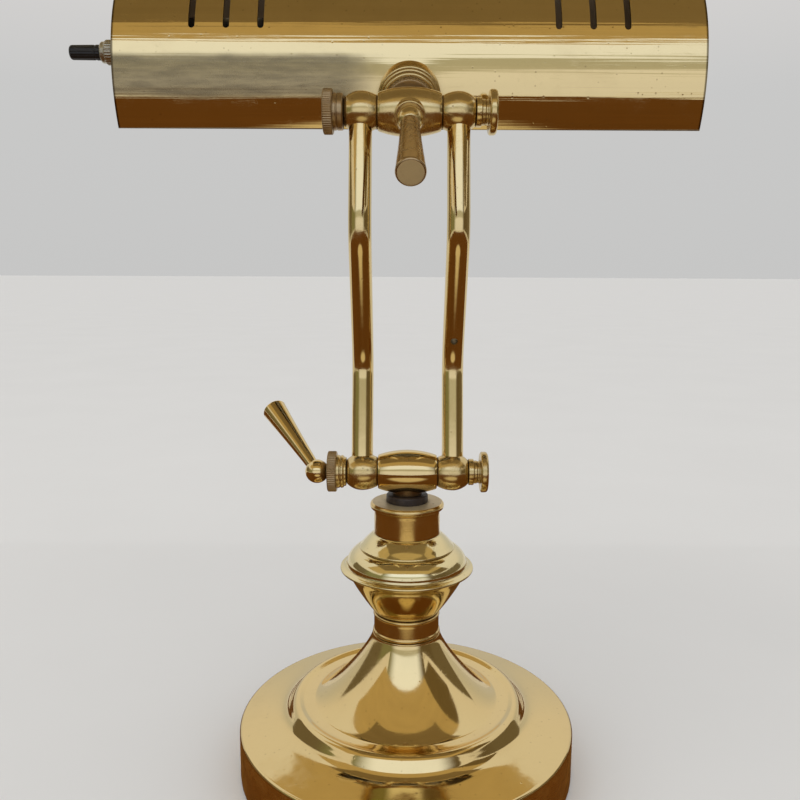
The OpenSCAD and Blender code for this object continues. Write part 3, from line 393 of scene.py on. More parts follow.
def noise(tree, where, scale, detail=3.0, rough=0.55, warp=0.0):
    wires = {"Vector": where, "Scale": scale, "Detail": detail, "Roughness": rough, "Distortion": warp}
    return node(tree, "ShaderNodeTexNoise", wires).outputs["Fac"]


def mixed(tree, factor, a, b, blend="MIX"):
    return node(tree, "ShaderNodeMix", {0: factor, 6: a, 7: b}, data_type="RGBA", blend_type=blend).outputs[2]


def surface(tree):
    """Places on a piece, in metres in the frame of the lamp."""
    return node(tree, "ShaderNodeTexCoord").outputs["Object"]


def axes(tree, where):
    return node(tree, "ShaderNodeSeparateXYZ", {0: where}).outputs


def stretched(tree, where, scale, lean=(0, 0, 0)):
    return node(tree, "ShaderNodeMapping", {"Vector": where, "Rotation": lean, "Scale": scale}).outputs[0]


CREVICE_REACH = 0.005
PIT_TONE = (0.16, 0.09, 0.04, 1)
SCRATCH_LAYS = (((0.3, 0.5, 0.2), (900, 900, 26)), ((1.1, 0.2, 0.9), (26, 800, 800)))


def make_brass_wear_and_shade():
    """Tarnish in patches, tarnish with painted shade in crevices found by ambient occlusion, rubbed haze,
    hairline scratches and small pits.
    """
    g, given, out = effect(
        "brass_wear_and_shade",
        {"Bright": (0.90, 0.71, 0.35, 1), "Tarnish": (0.30, 0.17, 0.07, 1), "Amount": 0.4, "Polish": 0.08,
         "Haze": 0.12, "Pits": 0.3, "Uneven": 0.5},
        ("Color", "Roughness", "Height"))
    where = surface(g)
    patches = spread(g, noise(g, where, 38, 5, 0.6, 0.6), 0.46, 0.80)
    specks = spread(g, noise(g, where, 420, 3, 0.6), 0.62, 0.78)
    # Crevices found by ambient occlusion take the tarnish colour: painted shade as well as tarnish
    occlusion = node(g, "ShaderNodeAmbientOcclusion", {"Distance": CREVICE_REACH}, samples=6).outputs["AO"]
    crevice_shade = spread(g, occlusion, 0.80, 0.25)
    stain_and_shade = scaled_sum(g, patches, 0.55, product(g, specks, 0.35))
    stain_and_shade = maths(g, "MULTIPLY", stain_and_shade, given["Amount"], clamp=True)
    stain_and_shade = scaled_sum(g, crevice_shade, 0.75, stain_and_shade, clamp=True)
    warm = mixed(g, noise(g, where, 12, 2), (1.0, 0.985, 0.95, 1), (0.97, 0.96, 0.93, 1))
    colour = mixed(g, stain_and_shade, mixed(g, 1.0, given["Bright"], warm, "MULTIPLY"), given["Tarnish"])
    smear = spread(g, noise(g, where, 70, 4, 0.65, 1.2), 0.45, 0.75)
    lines = []
    for lean, scale in SCRATCH_LAYS:
        off = maths(g, "SUBTRACT", noise(g, stretched(g, where, scale, lean), 1.0, 2, 0.5), 0.5)
        lines.append(spread(g, maths(g, "ABSOLUTE", off), 0.012, 0.0))
    rubbed = spread(g, noise(g, where, 55, 2), 0.52, 0.66)
    scratch = product(g, maths(g, "MAXIMUM", lines[0], lines[1]), rubbed)
    cells = node(g, "ShaderNodeTexVoronoi", {"Vector": where, "Scale": 520.0})
    lot = node(g, "ShaderNodeSeparateColor", {0: cells.outputs["Color"]}).outputs[0]
    few = maths(g, "GREATER_THAN", lot, 0.90)
    pit = product(g, spread(g, cells.outputs["Distance"], 0.30, 0.10), few)
    pit = product(g, pit, given["Pits"])
    rough = scaled_sum(g, smear, given["Haze"], given["Polish"])
    rough = scaled_sum(g, stain_and_shade, 0.30, rough)
    rough = scaled_sum(g, scratch, 0.08, rough, clamp=True)
    height = scaled_sum(g, scratch, -0.05, product(g, pit, -0.8))
    height = scaled_sum(g, noise(g, where, 150, 2, 0.5), given["Uneven"], height)
    put_out(g, out, Color=mixed(g, pit, colour, PIT_TONE), Roughness=rough, Height=height)
    return g


def make_turning_marks():
    """Fine rings that a cutting or polishing tool leaves round a turned piece."""
    g, given, out = effect("turning_marks", {"Fineness": 14.0}, ("Height", "Grain"))
    at = node(g, "ShaderNodeAttribute", attribute_name="turning").outputs["Vector"]
    fine = noise(g, at, given["Fineness"], 3, 0.5)
    broad = noise(g, at, 2.2, 2)
    put_out(g, out, Height=scaled_sum(g, fine, 0.6, product(g, broad, 0.4)), Grain=spread(g, fine, 0.3, 0.7))
    return g


def make_moulded_grain():
    """The slightly uneven skin of a moulded piece, with dust in its low places."""
    g, given, out = effect("moulded_grain",
                           {"Base": (0.02, 0.02, 0.02, 1), "Dust": (0.12, 0.11, 0.10, 1), "Sheen": 0.35},
                           ("Color", "Roughness", "Height"))
    where = surface(g)
    dust = spread(g, noise(g, where, 260, 4, 0.65), 0.50, 0.80)
    put_out(g, out, Color=mixed(g, product(g, dust, 0.5), given["Base"], given["Dust"]),
            Roughness=scaled_sum(g, dust, 0.25, given["Sheen"]), Height=noise(g, where, 1500, 3, 0.6))
    return g


def make_felt_fibres():
    """Matted fibres, paler where they are worn."""
    g, given, out = effect("felt_fibres", {"Fibre": (0.06, 0.16, 0.09, 1), "Worn": (0.16, 0.22, 0.15, 1)},
                           ("Color", "Height"))
    where = surface(g)
    worn = spread(g, noise(g, where, 300, 5, 0.7), 0.4, 0.8)
    put_out(g, out, Color=mixed(g, worn, given["Fibre"], given["Worn"]),
            Height=noise(g, where, 1800, 6, 0.7, 2.0))
    return g


def make_metal_skin():
    """Cast or plated metal: blotches, fine grain and dull places."""
    g, given, out = effect("metal_skin",
                           {"Light": (0.6, 0.6, 0.62, 1), "Dark": (0.3, 0.3, 0.3, 1), "Grain": 400.0,
                            "Dull": 0.3},
                           ("Color", "Roughness", "Height"))
    where = surface(g)
    blotch = spread(g, noise(g, where, 90, 5, 0.65), 0.35, 0.75)
    put_out(g, out, Color=mixed(g, blotch, given["Light"], given["Dark"]),
            Roughness=scaled_sum(g, blotch, 0.25, given["Dull"]),
            Height=noise(g, where, given["Grain"], 4, 0.5))
    return g


# Where the dull patch and the dark rim of the shade lie, in metres
PATCH_START, PATCH_FULL = -0.006, -0.030
PATCH_TOP, PATCH_BOTTOM = (0.3185, 0.3150), (0.2985, 0.3015)
PATCH_BACK = (0.045, 0.030)
RIM_START, RIM_FULL = 0.1259, 0.1265
RIM_TONE = (0.06, 0.04, 0.02, 1)


def make_handled_patch():
    """The dull, smeared patch that hands leave on the switch side of the shade."""
    g, given, out = effect("handled_patch", {"Clean": (0.8, 0.6, 0.3, 1), "Polish": 0.05,
                                             "Dull": (0.27, 0.215, 0.12, 1), "Smear": 0.22},
                           ("Color", "Roughness"))
    where = surface(g)
    at = axes(g, where)
    drift = maths(g, "SUBTRACT", noise(g, where, 22, 4, 0.6), 0.5)
    along = spread(g, scaled_sum(g, drift, 0.03, at["X"]), PATCH_START, PATCH_FULL)
    height = scaled_sum(g, drift, 0.004, at["Z"])
    band = product(g, spread(g, height, *PATCH_TOP), spread(g, height, *PATCH_BOTTOM))
    back = spread(g, at["Y"], *PATCH_BACK)
    wiped = stretched(g, where, (60, 420, 420), (0.2, 0.5, 0.1))
    streaks = spread(g, noise(g, wiped, 1.0, 5, 0.65), 0.30, 0.70, 0.78, 1.0)
    patch = product(g, product(g, along, band), product(g, back, streaks))
    rim = spread(g, maths(g, "ABSOLUTE", at["X"]), RIM_START, RIM_FULL)
    rubbed = mixed(g, patch, given["Clean"], given["Dull"])
    put_out(g, out, Color=mixed(g, product(g, rim, 0.8), rubbed, RIM_TONE),
            Roughness=scaled_sum(g, patch, given["Smear"], given["Polish"], clamp=True))
    return g


def make_rolling_marks():
    """Faint streaks along a sheet, left by the rolls and by polishing."""
    g, given, out = effect("rolling_marks", {"Fine": 260.0}, ("Height",))
    drawn_out = stretched(g, surface(g), (0.012, 1.0, 1.0))
    streak = noise(g, drawn_out, given["Fine"], 3, 0.5)
    put_out(g, out, Height=scaled_sum(g, noise(g, drawn_out, 1400, 2), 0.06, streak))
    return g


BRASS_WEAR_AND_SHADE = make_brass_wear_and_shade()
TURNING_MARKS = make_turning_marks()
MOULDED_GRAIN = make_moulded_grain()
FELT_FIBRES = make_felt_fibres()
METAL_SKIN = make_metal_skin()
HANDLED_PATCH = make_handled_patch()
ROLLING_MARKS = make_rolling_marks()
ROLLING_DEPTH = 2.6
RING_GRAIN = 0.25


def new_finish(name, **settings):
    """A material with its tree and the sockets of its shader. Settings are the shader's plain values."""
    m = bpy.data.materials.new(name)
    m.use_nodes = True
    sockets = m.node_tree.nodes["Principled BSDF"].inputs
    for key, value in settings.items():
        sockets[key.replace("_", " ")].default_value = value
    return m, m.node_tree, sockets


def finish_with(name, group, values, depth=0.0002, strength=0.3, rings=0.0, handled=False, **settings):
    """A finish whose colour, roughness and relief come from a group of nodes."""
    m, tree, coat = new_finish(name, **settings)
    wear = node(tree, "ShaderNodeGroup", values, node_tree=group).outputs
    colour, rough, height = wear["Color"], wear.get("Roughness"), wear["Height"]
    if handled:
        clean = {"Clean": colour, "Polish": rough}
        patch = node(tree, "ShaderNodeGroup", clean, node_tree=HANDLED_PATCH).outputs
        colour, rough = patch["Color"], patch["Roughness"]
        streaks = node(tree, "ShaderNodeGroup", node_tree=ROLLING_MARKS).outputs
        height = scaled_sum(tree, streaks["Height"], ROLLING_DEPTH, height)
    if rings:
        marks = node(tree, "ShaderNodeGroup", node_tree=TURNING_MARKS).outputs
        rough = scaled_sum(tree, marks["Grain"], rings * RING_GRAIN, rough)
        height = scaled_sum(tree, marks["Height"], rings, height)
    tree.links.new(colour, coat["Base Color"])
    if rough:
        tree.links.new(rough, coat["Roughness"])
    bump = node(tree, "ShaderNodeBump", {"Strength": strength, "Distance": depth, "Height": height})
    tree.links.new(bump.outputs[0], coat["Normal"])
    return m


def brass(name, bright, tarnish, amount, polish, haze, pits, uneven=0.5, metallic=1.0, **more):
    """Brass of a bright and a tarnished tone, with the amount of each kind of mark on it."""
    return finish_with(name, BRASS_WEAR_AND_SHADE, {
        "Bright": (*bright, 1), "Tarnish": (*tarnish, 1), "Amount": amount, "Polish": polish, "Haze": haze,
        "Pits": pits, "Uneven": uneven}, Metallic=metallic, **more)


BROWNED = (0.27, 0.165, 0.065)
lacquered_brass = brass("lacquered_brass", (0.81, 0.635, 0.315), BROWNED, amount=0.20, polish=0.08, haze=0.08,
                        pits=0.25)
spun_brass = brass("spun_brass", (0.83, 0.65, 0.32), BROWNED, amount=0.16, polish=0.06, haze=0.08, pits=0.2,
                   uneven=0.25, rings=0.03)
shade_brass = brass("shade_brass", (0.82, 0.65, 0.33), BROWNED, amount=0.20, polish=0.05, haze=0.05,
                    pits=0.30, uneven=0.25, handled=True)
lemon_brass = brass("lemon_brass", (0.86, 0.74, 0.42), (0.33, 0.23, 0.10), amount=0.22, polish=0.07,
                    haze=0.08, pits=0.25, uneven=0.8, rings=0.02)
warm_brass = brass("warm_brass", (0.80, 0.60, 0.27), BROWNED, amount=0.30, polish=0.13, haze=0.10, pits=0.3,
                   uneven=0.6, rings=0.10)
cast_brass = brass("cast_brass", (0.73, 0.57, 0.275), (0.22, 0.14, 0.06), amount=0.75, polish=0.17, haze=0.14,
                   pits=0.45, uneven=1.8, rings=0.10)
tarnished_brass = brass("tarnished_brass", (0.46, 0.34, 0.19), (0.17, 0.12, 0.07), amount=0.8, polish=0.26,
                        haze=0.18, pits=0.5, uneven=0.8, strength=0.5, rings=0.5)
rubbed_brass = brass("rubbed_brass", (0.48, 0.35, 0.19), (0.16, 0.105, 0.055), amount=1.0, polish=0.22,
                     haze=0.20, pits=0.6, uneven=1.4, strength=0.5)
worn_end = brass("worn_end", (0.46, 0.35, 0.19), (0.20, 0.13, 0.065), amount=1.2, polish=0.42, haze=0.15,
                 pits=0.8, uneven=1.5, metallic=0.6, strength=0.6)
brushed_brass = brass("brushed_brass", (0.88, 0.54, 0.14), BROWNED, amount=0.40, polish=0.18, haze=0.14,
                      pits=0.3, uneven=0.4, strength=0.5, rings=0.8)
grimy_brass = brass("grimy_brass", (0.66, 0.56, 0.37), (0.24, 0.185, 0.12), amount=1.0, polish=0.45,
                    haze=0.15, pits=0.9, uneven=1.0, metallic=0.75, strength=0.5)
dull_nickel = brass("dull_nickel", (0.52, 0.49, 0.39), (0.22, 0.20, 0.14), amount=0.7, polish=0.28, haze=0.15,
                    pits=0.4, rings=0.2)
edge_brass = brass("edge_brass", (0.20, 0.13, 0.06), (0.08, 0.05, 0.025), amount=0.8, polish=0.3, haze=0.2,
                   pits=0.4)
# Dark, dull brass for the inside of the shade: painted shade, for an inside that little light reaches
shaded_inside = brass("shaded_inside", (0.13, 0.10, 0.06), (0.055, 0.042, 0.026), amount=0.8, polish=0.5,
                    haze=0.2, pits=0.3, metallic=0.5)
black_moulding = finish_with("black_moulding", MOULDED_GRAIN, {}, depth=0.0001, strength=0.25)
black_knob = finish_with("black_knob", MOULDED_GRAIN, {
    "Base": (0.006, 0.006, 0.0065, 1), "Dust": (0.03, 0.029, 0.027, 1), "Sheen": 0.36},
    depth=0.0001, strength=0.2)
dark_bushing = finish_with("dark_bushing", MOULDED_GRAIN, {
    "Base": (0.022, 0.014, 0.011, 1), "Dust": (0.10, 0.07, 0.05, 1), "Sheen": 0.42},
    depth=0.0001, strength=0.3)
dark_steel = finish_with("dark_steel", METAL_SKIN, {
    "Light": (0.10, 0.085, 0.07, 1), "Dark": (0.04, 0.034, 0.03, 1), "Dull": 0.45},
    depth=0.0001, strength=0.3, Metallic=0.7)
green_felt = finish_with("green_felt", FELT_FIBRES, {}, depth=0.0006, strength=0.9, Roughness=0.95,
                         Sheen_Weight=0.4)
plated_steel = finish_with("plated_steel", METAL_SKIN, {}, depth=0.0001, strength=0.2, Metallic=1.0)
cast_iron = finish_with("cast_iron", METAL_SKIN, {
    "Light": (0.11, 0.11, 0.115, 1), "Dark": (0.045, 0.043, 0.043, 1), "Grain": 900.0, "Dull": 0.55},
    depth=0.0006, strength=0.8, Metallic=0.6)
woven_lead = finish_with("woven_lead", FELT_FIBRES, {
    "Fibre": (0.22, 0.17, 0.09, 1), "Worn": (0.38, 0.31, 0.19, 1)}, depth=0.0004, strength=0.8, Roughness=0.8)
frosted_glass = finish_with("frosted_glass", METAL_SKIN, {
    "Light": (0.95, 0.94, 0.91, 1), "Dark": (0.88, 0.87, 0.83, 1), "Grain": 2500.0, "Dull": 0.42},
    depth=0.0001, strength=0.15, Transmission_Weight=0.75, IOR=1.46)

SLOT_FINISH = {
    "polished_brass": lacquered_brass, "aged_brass": tarnished_brass, "plated_steel": plated_steel,
    "cast_weight": cast_iron, "black_plastic": black_moulding, "felt": green_felt, "lead_cover": woven_lead,
    "frosted_glass": frosted_glass,
}
NODE_FINISH = {"swivel_stud": dark_steel}
for sub in frame["record"]["subparts"]:
    part = frame["nodes"][sub["node"]]
    part.data.materials.clear()
    part.data.materials.append(NODE_FINISH.get(sub["node"], SLOT_FINISH[sub["material_slot"]]))


def place(piece, body, finish, slot, *nodes, lining=None):
    """Gives a piece its finish, the body it moves with and the solids it stands for."""
    piece.data.materials.append(finish)
    if lining:
        piece.data.materials.append(lining)
    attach(piece, body)
    if nodes:
        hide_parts(*nodes)
    return piece


# Base cover: skirt, rolled rim, flange, raised ring, dish and trumpet
RIM_C = (74.4, 21.4)
DISH_Z = 32.10
TRUMPET_TOP = (15.4, 63.10)
TRUMPET_FOOT_R = 42.0
TRUMPET_BELLY = 1.6


def trumpet_line(steps=64):
    """The flare from the dish up to the lip, between a cone and an oval in shape."""
    line = []
    for i in range(steps, -1, -1):
        a = math.pi / 2 * i / steps
        line.append((TRUMPET_FOOT_R - (TRUMPET_FOOT_R - TRUMPET_TOP[0]) * math.cos(a) ** TRUMPET_BELLY,
                     TRUMPET_TOP[1] - (TRUMPET_TOP[1] - DISH_Z) * math.sin(a) ** TRUMPET_BELLY))
    return line


top_line = (
    arc(RIM_C, 1.6, 1.6, 0, 79.5, 14)
    + flowing([(74.69, 22.97), (69.5, 23.85), (64.0, 24.8), (59.5, 25.75), (56.6, 26.75), (54.6, 28.2),
               (53.0, 30.4), (51.6, 32.3), (50.3, 33.15), (49.1, 33.2), (48.0, 32.75), (46.9, 32.28),
               (45.6, DISH_Z)], 8)[1:]
    + [(44.4, DISH_Z), (43.2, DISH_Z)] + trumpet_line()
    + [(15.4, 63.4), (15.3, 63.62), (15.0, 63.70), (14.4, 63.70), (14.4, 62.9)]
)
skirt_line = eased([(74.9, 21.0), (74.9, 1.2), (75.3, 1.0, 0.2), (75.9, 1.15, 0.2), (BASE_R, 1.8, 0.3),
                    (BASE_R, 12.0, 0.1), (BASE_R, 21.4)], 0.3, 4)
place(turned("base_skirt", skirt_line, UPRIGHT, around=240), "base", brushed_brass, "polished_brass")
place(turned("base_top", top_line, UPRIGHT, around=240), "base", spun_brass, "polished_brass", "base_cover")

BUSH_Z = 9.0
bush_at = shift(0, -BASE_R, BUSH_Z) @ turn(90, "X")
bush_line = eased([(3.2, -8.0), (4.55, -8.0), (4.55, 0.02), (6.2, 0.02, 0.3), (6.2, 1.0, 0.6),
                   (5.4, 1.5, 0.5), (3.7, 1.5, 0.4), (3.2, 1.0, 0.4)], 0.3)
place(turned("cord_inlet_bush", bush_line, bush_at, around=72, loop=True), "base", black_moulding,
      "black_plastic", "cord_bush")

# Column: lower collar, vase and upper collar
lower_collar = ([(5.3, 0.0), (14.0, 0.0)] + arc((14.25, 1.0), 0.95, 1.0, 270, 410, 14)
                + [(14.7, 2.0), (14.7, 2.4)] + [(14.7, 2.9 + 0.5 * i) for i in range(10)]
                + [(14.6, 8.0)] + arc((14.3, 9.1), 0.75, 0.8, 300, 450, 12) + [(14.0, 9.95), (5.3, 10.0)])
place(turned("lower_collar_turned", lower_collar, shift(0, 0, COVER_TOP)), "base", warm_brass,
      "polished_brass", "lower_collar")
vase_low = flowing([(13.9, 0.05), (14.5, 0.5), (15.3, 1.5), (16.6, 3.1), (18.4, 5.6), (20.6, 8.9),
                    (23.0, 12.7), (25.2, 16.6), (26.5, 19.2), (27.6, 20.3)], 8)
vase_lip = (arc((29.3, 21.0), 0.6, 0.6, 270, 450, 14)
            + flowing([(28.6, 21.75), (27.9, 22.0), (27.4, 22.3), (26.0, 22.3)], 5))
place(turned("vase_lower_half", [(5.3, 0.0), (13.2, 0.0)] + vase_low + vase_lip, shift(0, 0, VASE_Z),
             around=192), "base", lemon_brass, "polished_brass", "vase_bottom")
dome = (flowing([(27.6, 0.55), (27.15, 0.8), (26.95, 1.5), (26.75, 2.8), (26.2, 4.3), (25.2, 5.8),
                 (23.8, 7.1), (22.3, 8.0), (21.3, 8.35), (20.75, 8.55)], 8)
        + arc((20.7, 9.05), 0.45, 0.5, 285, 400, 8)
        + flowing([(20.9, 9.5), (20.1, 10.35), (18.9, 11.7), (17.5, 13.1), (16.1, 14.3), (15.2, 14.95),
                   (14.9, 15.3)], 7)
        + [(14.8, 15.4), (5.3, 15.4)])
place(turned("vase_upper_half", dome, shift(0, 0, VASE_TOP_Z), around=192), "base", lemon_brass,
      "polished_brass", "vase_top")
upper_collar = ([(5.1, 0.0), (14.5, 0.0), (14.7, 0.15)] + [(14.7, z) for z in (1.0, 2.0, 3.0, 5.0, 7.0, 9.0)]
                + [(14.72, 10.4)] + flowing([(14.8, 10.7), (15.3, 11.1), (16.0, 11.5)], 5)
                + arc((15.2, 12.65), 1.3, 1.5, 320, 440, 14))
place(turned("upper_collar_turned", upper_collar, shift(0, 0, UPPER_COLLAR_Z)), "base", warm_brass,
      "polished_brass", "upper_collar")
collar_face = eased([(15.45, 14.13), (15.1, 14.2, 0.1), (7.6, 14.2, 0.3), (7.6, 12.0)], 0.2)
place(turned("upper_collar_face", collar_face, shift(0, 0, UPPER_COLLAR_Z)), "base", grimy_brass,
      "aged_brass")
bushing = eased([(4.05, -5.5), (7.5, -5.5, 0.3), (7.5, 0.0), (9.25, 0.0, 0.3), (9.25, 3.3, 0.7),
                 (4.05, 3.3, 0.3)], 0.3)
place(turned("swivel_bushing_turned", bushing, shift(0, 0, COLLAR_TOP_Z), around=96, loop=True), "base",
      dark_bushing, "black_plastic", "swivel_bushing")


# Barrels, knuckles and their hardware
def ball_side(half, mid_r, left_r, right_r, steps=24):
    """A side that swells along an arc on either side of its middle."""
    line = []
    for i in range(-steps, steps + 1):
        rise = mid_r - (left_r if i < 0 else right_r)
        r = (half ** 2 + rise ** 2) / (2 * rise)
        x = half * i / steps
        line.append((mid_r - r + math.sqrt(r * r - x * x), x))
    return line


def barrel_line():
    half = BARREL_L / 2
    side = ball_side(half, BARREL_R, BARREL_END_R, BARREL_END_R, 20)
    return ([(BORE_R, -half), (BARREL_END_R - 0.5, -half), (BARREL_END_R - 0.12, -half + 0.1)] + side[1:-1]
            + [(BARREL_END_R - 0.12, half - 0.1), (BARREL_END_R - 0.5, half), (BORE_R, half)])


place(turned("lower_barrel_turned", barrel_line(), AT_LOW @ TO_RIGHT), "lower_pivot", lacquered_brass,
      "polished_brass", "lower_barrel")
seat_line = eased([(4.05, 4.0), (4.05, 0.0), (6.5, 0.0, 0.2), (6.5, 4.0)], 0.2)
place(turned("lower_barrel_seat", seat_line, shift(0, 0, SEAT_Z), around=72), "lower_pivot", edge_brass,
      "polished_brass")
place(turned("upper_barrel_turned", barrel_line(), AT_UP @ TO_RIGHT), "upper_pivot", cast_brass,
      "polished_brass", "upper_barrel")
boss_line = eased([(5.7, 5.0), (5.7, 10.2, 0.4), (4.05, 10.2)], 0.3)
place(turned("upper_barrel_neck_boss", boss_line, AT_NECK, around=72), "upper_pivot", tarnished_brass,
      "aged_brass")
lever_seat = eased([(6.9, 7.4), (6.45, 8.6, 0.6), (6.3, 9.6), (6.3, 10.8, 0.7), (2.6, 10.8)], 0.4)
place(turned("upper_barrel_lever_seat", lever_seat, AT_UP_SCREW, around=96), "upper_pivot", cast_brass,
      "polished_brass")

half_w = KNUCKLE_W / 2
knuckle = ([(BORE_R, -half_w), (5.9, -half_w), (6.2, -half_w + 0.06)]
           + ball_side(half_w, KNUCKLE_R, 6.3, 5.2)[1:-1]
           + [(5.1, half_w - 0.06), (4.8, half_w), (BORE_R, half_w)])
for side, way in (("left", -1), ("right", 1)):
    facing_out = TO_LEFT if way < 0 else TO_RIGHT
    for level, at in (("lower", AT_LOW), ("upper", AT_UP)):
        outward = at @ shift(way * ARM_X, 0, 0) @ facing_out
        place(turned(f"{level}_{side}_knuckle_turned", knuckle, outward, around=112), "arms", cast_brass,
              "polished_brass", f"{level}_{side}_knuckle")

bolt_neck = eased([(3.2, 0.0), (5.8, 0.0, 0.3), (5.8, 2.2, 0.5), (5.1, 2.3, 0.2), (5.1, 3.6, 0.2),
                   (4.85, 3.8, 0.2), (4.85, 4.5, 0.2), (5.1, 4.7, 0.2), (5.1, 5.2)], 0.3)
bolt_head = eased([(5.1, 5.2), (8.5, 5.2, 0.3), (9.0, 5.8, 0.5), (9.0, 7.6, 0.5), (8.4, 8.4, 0.5),
                   (7.0, 8.4, 0.5), (6.5, 8.1, 0.5), (0.0, 8.05)], 0.4)
disc_neck = eased([(3.2, 0.0), (6.4, 0.0, 0.4), (6.4, 0.8, 0.3), (7.1, 1.2, 0.4), (7.35, 2.1, 0.3),
                   (6.9, 2.6, 0.4), (7.35, 3.1, 0.4), (7.35, 4.2)], 0.3)
nut_neck = eased([(3.2, 0.0), (6.9, 0.0, 0.3), (7.35, 0.5, 0.3), (7.35, 2.3, 0.15), (7.1, 2.5, 0.15),
                  (7.1, 2.8, 0.15), (7.35, 3.0, 0.15), (7.35, 4.2)], 0.2)
disc_face = eased([(7.3, 4.2), (8.6, 4.2, 0.2), (9.0, 4.6, 0.15), (9.0, 7.8, 0.15), (8.6, 8.2, 0.2),
                   (3.2, 8.2)], 0.2)
hardware = (("lower", AT_LOW, "lower_pivot", "lower_pivot", "lower_knurled_washer", disc_neck, cast_brass,
             BALL_X - SHANK_SHORT),
            ("upper", AT_UP, "arms", "thumb_nut", "upper_thumb_nut", nut_neck, tarnished_brass, KNURL_END_X))
for level, at, body, nut_body, nut, nut_line, nut_finish, shank_end in hardware:
    right = at @ shift(WASHER_X, 0, 0) @ TO_RIGHT
    left = at @ shift(-WASHER_X, 0, 0) @ TO_LEFT
    shank = eased([(0.0, -WASHER_X - shank_end), (3.0, -WASHER_X - shank_end, 0.3), (3.0, 0.5)], 0.3)
    place(turned(f"{level}_bolt_shank", shank, right, around=48), body, plated_steel, "plated_steel")
    place(turned(f"{level}_bolt_neck", bolt_neck, right, around=96), body, cast_brass, "aged_brass")
    place(turned(f"{level}_bolt_head", bolt_head, right, around=112), body, cast_brass, "aged_brass",
          f"{level}_pivot_bolt")
    place(turned(f"{level}_disc_neck", nut_line, left, around=96), nut_body, nut_finish, "aged_brass")
    place(turned(f"{level}_disc_knurl", disc_face, left, teeth=60, tooth_h=0.26, tooth_from=8.75), nut_body,
          tarnished_brass, "aged_brass", nut)


# Levers
def ball_line():
    low = math.degrees(math.acos(BALL_FLAT / BALL_R))
    return [(0.0, -BALL_FLAT)] + arc((0, 0), BALL_R, BALL_R, -90 + low, 90, 32)


SWELL = ((0, 4.0), (0, 5.3), (2.2, 8.0), (7.4, 14.0), (14.2, 21.0), (21.6, 28.0), (29.6, 35.0), (37.2, 41.4))
SWELL_WHOLE = 39


def handle_side(root_r):
    """The side of a handle, which grows from its root by the shares and heights in SWELL."""
    grow = (LEVER_END_R - root_r) / SWELL_WHOLE
    return flowing([(root_r + share * grow, z) for share, z in SWELL] + [(LEVER_END_R + 0.02, 42.9)], 6)


handle_end = arc((4.65, 43.0), 1.0, 1.0, 0, 75, 10)
end_face = flowing([handle_end[-1], (4.4, 44.0), (2.5, 43.98), (0.0, 43.97)], 5)
levers = (("lower", AT_LOW_BALL, LOW_LEVER_LEAN, 2.7, lacquered_brass, lacquered_brass),
          ("upper", AT_UP_BALL, UP_LEVER_LEAN, 3.7, cast_brass, rubbed_brass))
for level, at, lean, root_r, ball_finish, handle_finish in levers:
    body = f"{level}_lever"
    stem = at @ turn(-lean, "X")
    place(turned(f"{level}_lever_ball_turned", ball_line(), at, around=96), body, ball_finish,
          "polished_brass", f"{level}_lever_ball")
    place(turned(f"{level}_lever_handle_turned", handle_side(root_r) + handle_end, stem, around=96), body,
          handle_finish, "polished_brass", f"{level}_lever_handle")
    place(turned(f"{level}_lever_end_face", end_face, stem, around=96), body, worn_end, "aged_brass")
lever_screw = eased([(0.0, -12.0), (2.5, -12.0, 0.5), (2.5, -4.6)], 0.4)
place(turned("upper_lever_screw", lever_screw, AT_UP_BALL, around=48), "upper_lever", plated_steel,
      "plated_steel")

# Arms: bent tubes
BEND_L = BEND_R * math.tan((ARM_END_LEAN + ARM_MID_LEAN) / 2)
BEND_S = BEND_R * (ARM_END_LEAN + ARM_MID_LEAN)
TUBE_SEAT = 4.05
END_S = ARM_END_L - BEND_L - TUBE_SEAT
STRETCHES = [("straight", END_S), ("back", BEND_S), ("straight", ARM_MID_L - 2 * BEND_L), ("forth", BEND_S),
             ("straight", END_S)]
ARM_S = sum(length for _, length in STRETCHES)


def arm_at(s):
    """Place and lean of the middle line of an arm at a distance along it."""
    lean = ARM_END_LEAN
    y, z = TUBE_SEAT * math.sin(lean), TUBE_SEAT * math.cos(lean)
    for i, (kind, length) in enumerate(STRETCHES):
        run = s if i == len(STRETCHES) - 1 else min(max(s, 0 if i else s), length)
        if kind == "straight":
            y, z = y + run * math.sin(lean), z + run * math.cos(lean)
        else:
            way = -1 if kind == "back" else 1
            after = lean + way * run / BEND_R
            y += way * BEND_R * (math.cos(lean) - math.cos(after))
            z += way * BEND_R * (math.sin(after) - math.sin(lean))
            lean = after
        s -= run
        if s <= 0:
            break
    return y, z, lean


def on_arm(x):
    """Lays a sheet round the arm tube at x."""
    def lay(u, v, depth):
        y, z, lean = arm_at(v)
        a = u / TUBE_R
        r = TUBE_R - depth
        return LOW_PIVOT + Vector((x + r * math.sin(a), y - r * math.cos(a) * math.cos(lean),
                                   z + r * math.cos(a) * math.sin(lean)))
    return lay


DRILL_S = END_S + BEND_S + DRILL_FROM_BEND - BEND_L
HALF_ROUND = math.pi * TUBE_R
drilled = ring_of((0.0, DRILL_S), DRILL_R, DRILL_R, 28)
for side, x, holes in (("left", -ARM_X, []), ("right", ARM_X, [drilled])):
    tube = pierced_sheet(f"{side}_arm_tube", (-HALF_ROUND, HALF_ROUND), (0.0, ARM_S), (48, 110), holes,
                         on_arm(x), TUBE_WALL)
    place(tube, "arms", lacquered_brass, "polished_brass", f"{side}_arm")


# Shade: trough with vent slots, hems and end caps
NECK_S = SHADE_R * NECK_FROM_TOP
PULL_H = 0.9
PULL_ROUND, PULL_LEFT, PULL_RIGHT = 13.0, 24.0, 13.0
WAVE_H, WAVE_L, WAVE_START, WAVES_ROUND = 0.16, 31.0, 0.6, 2.2


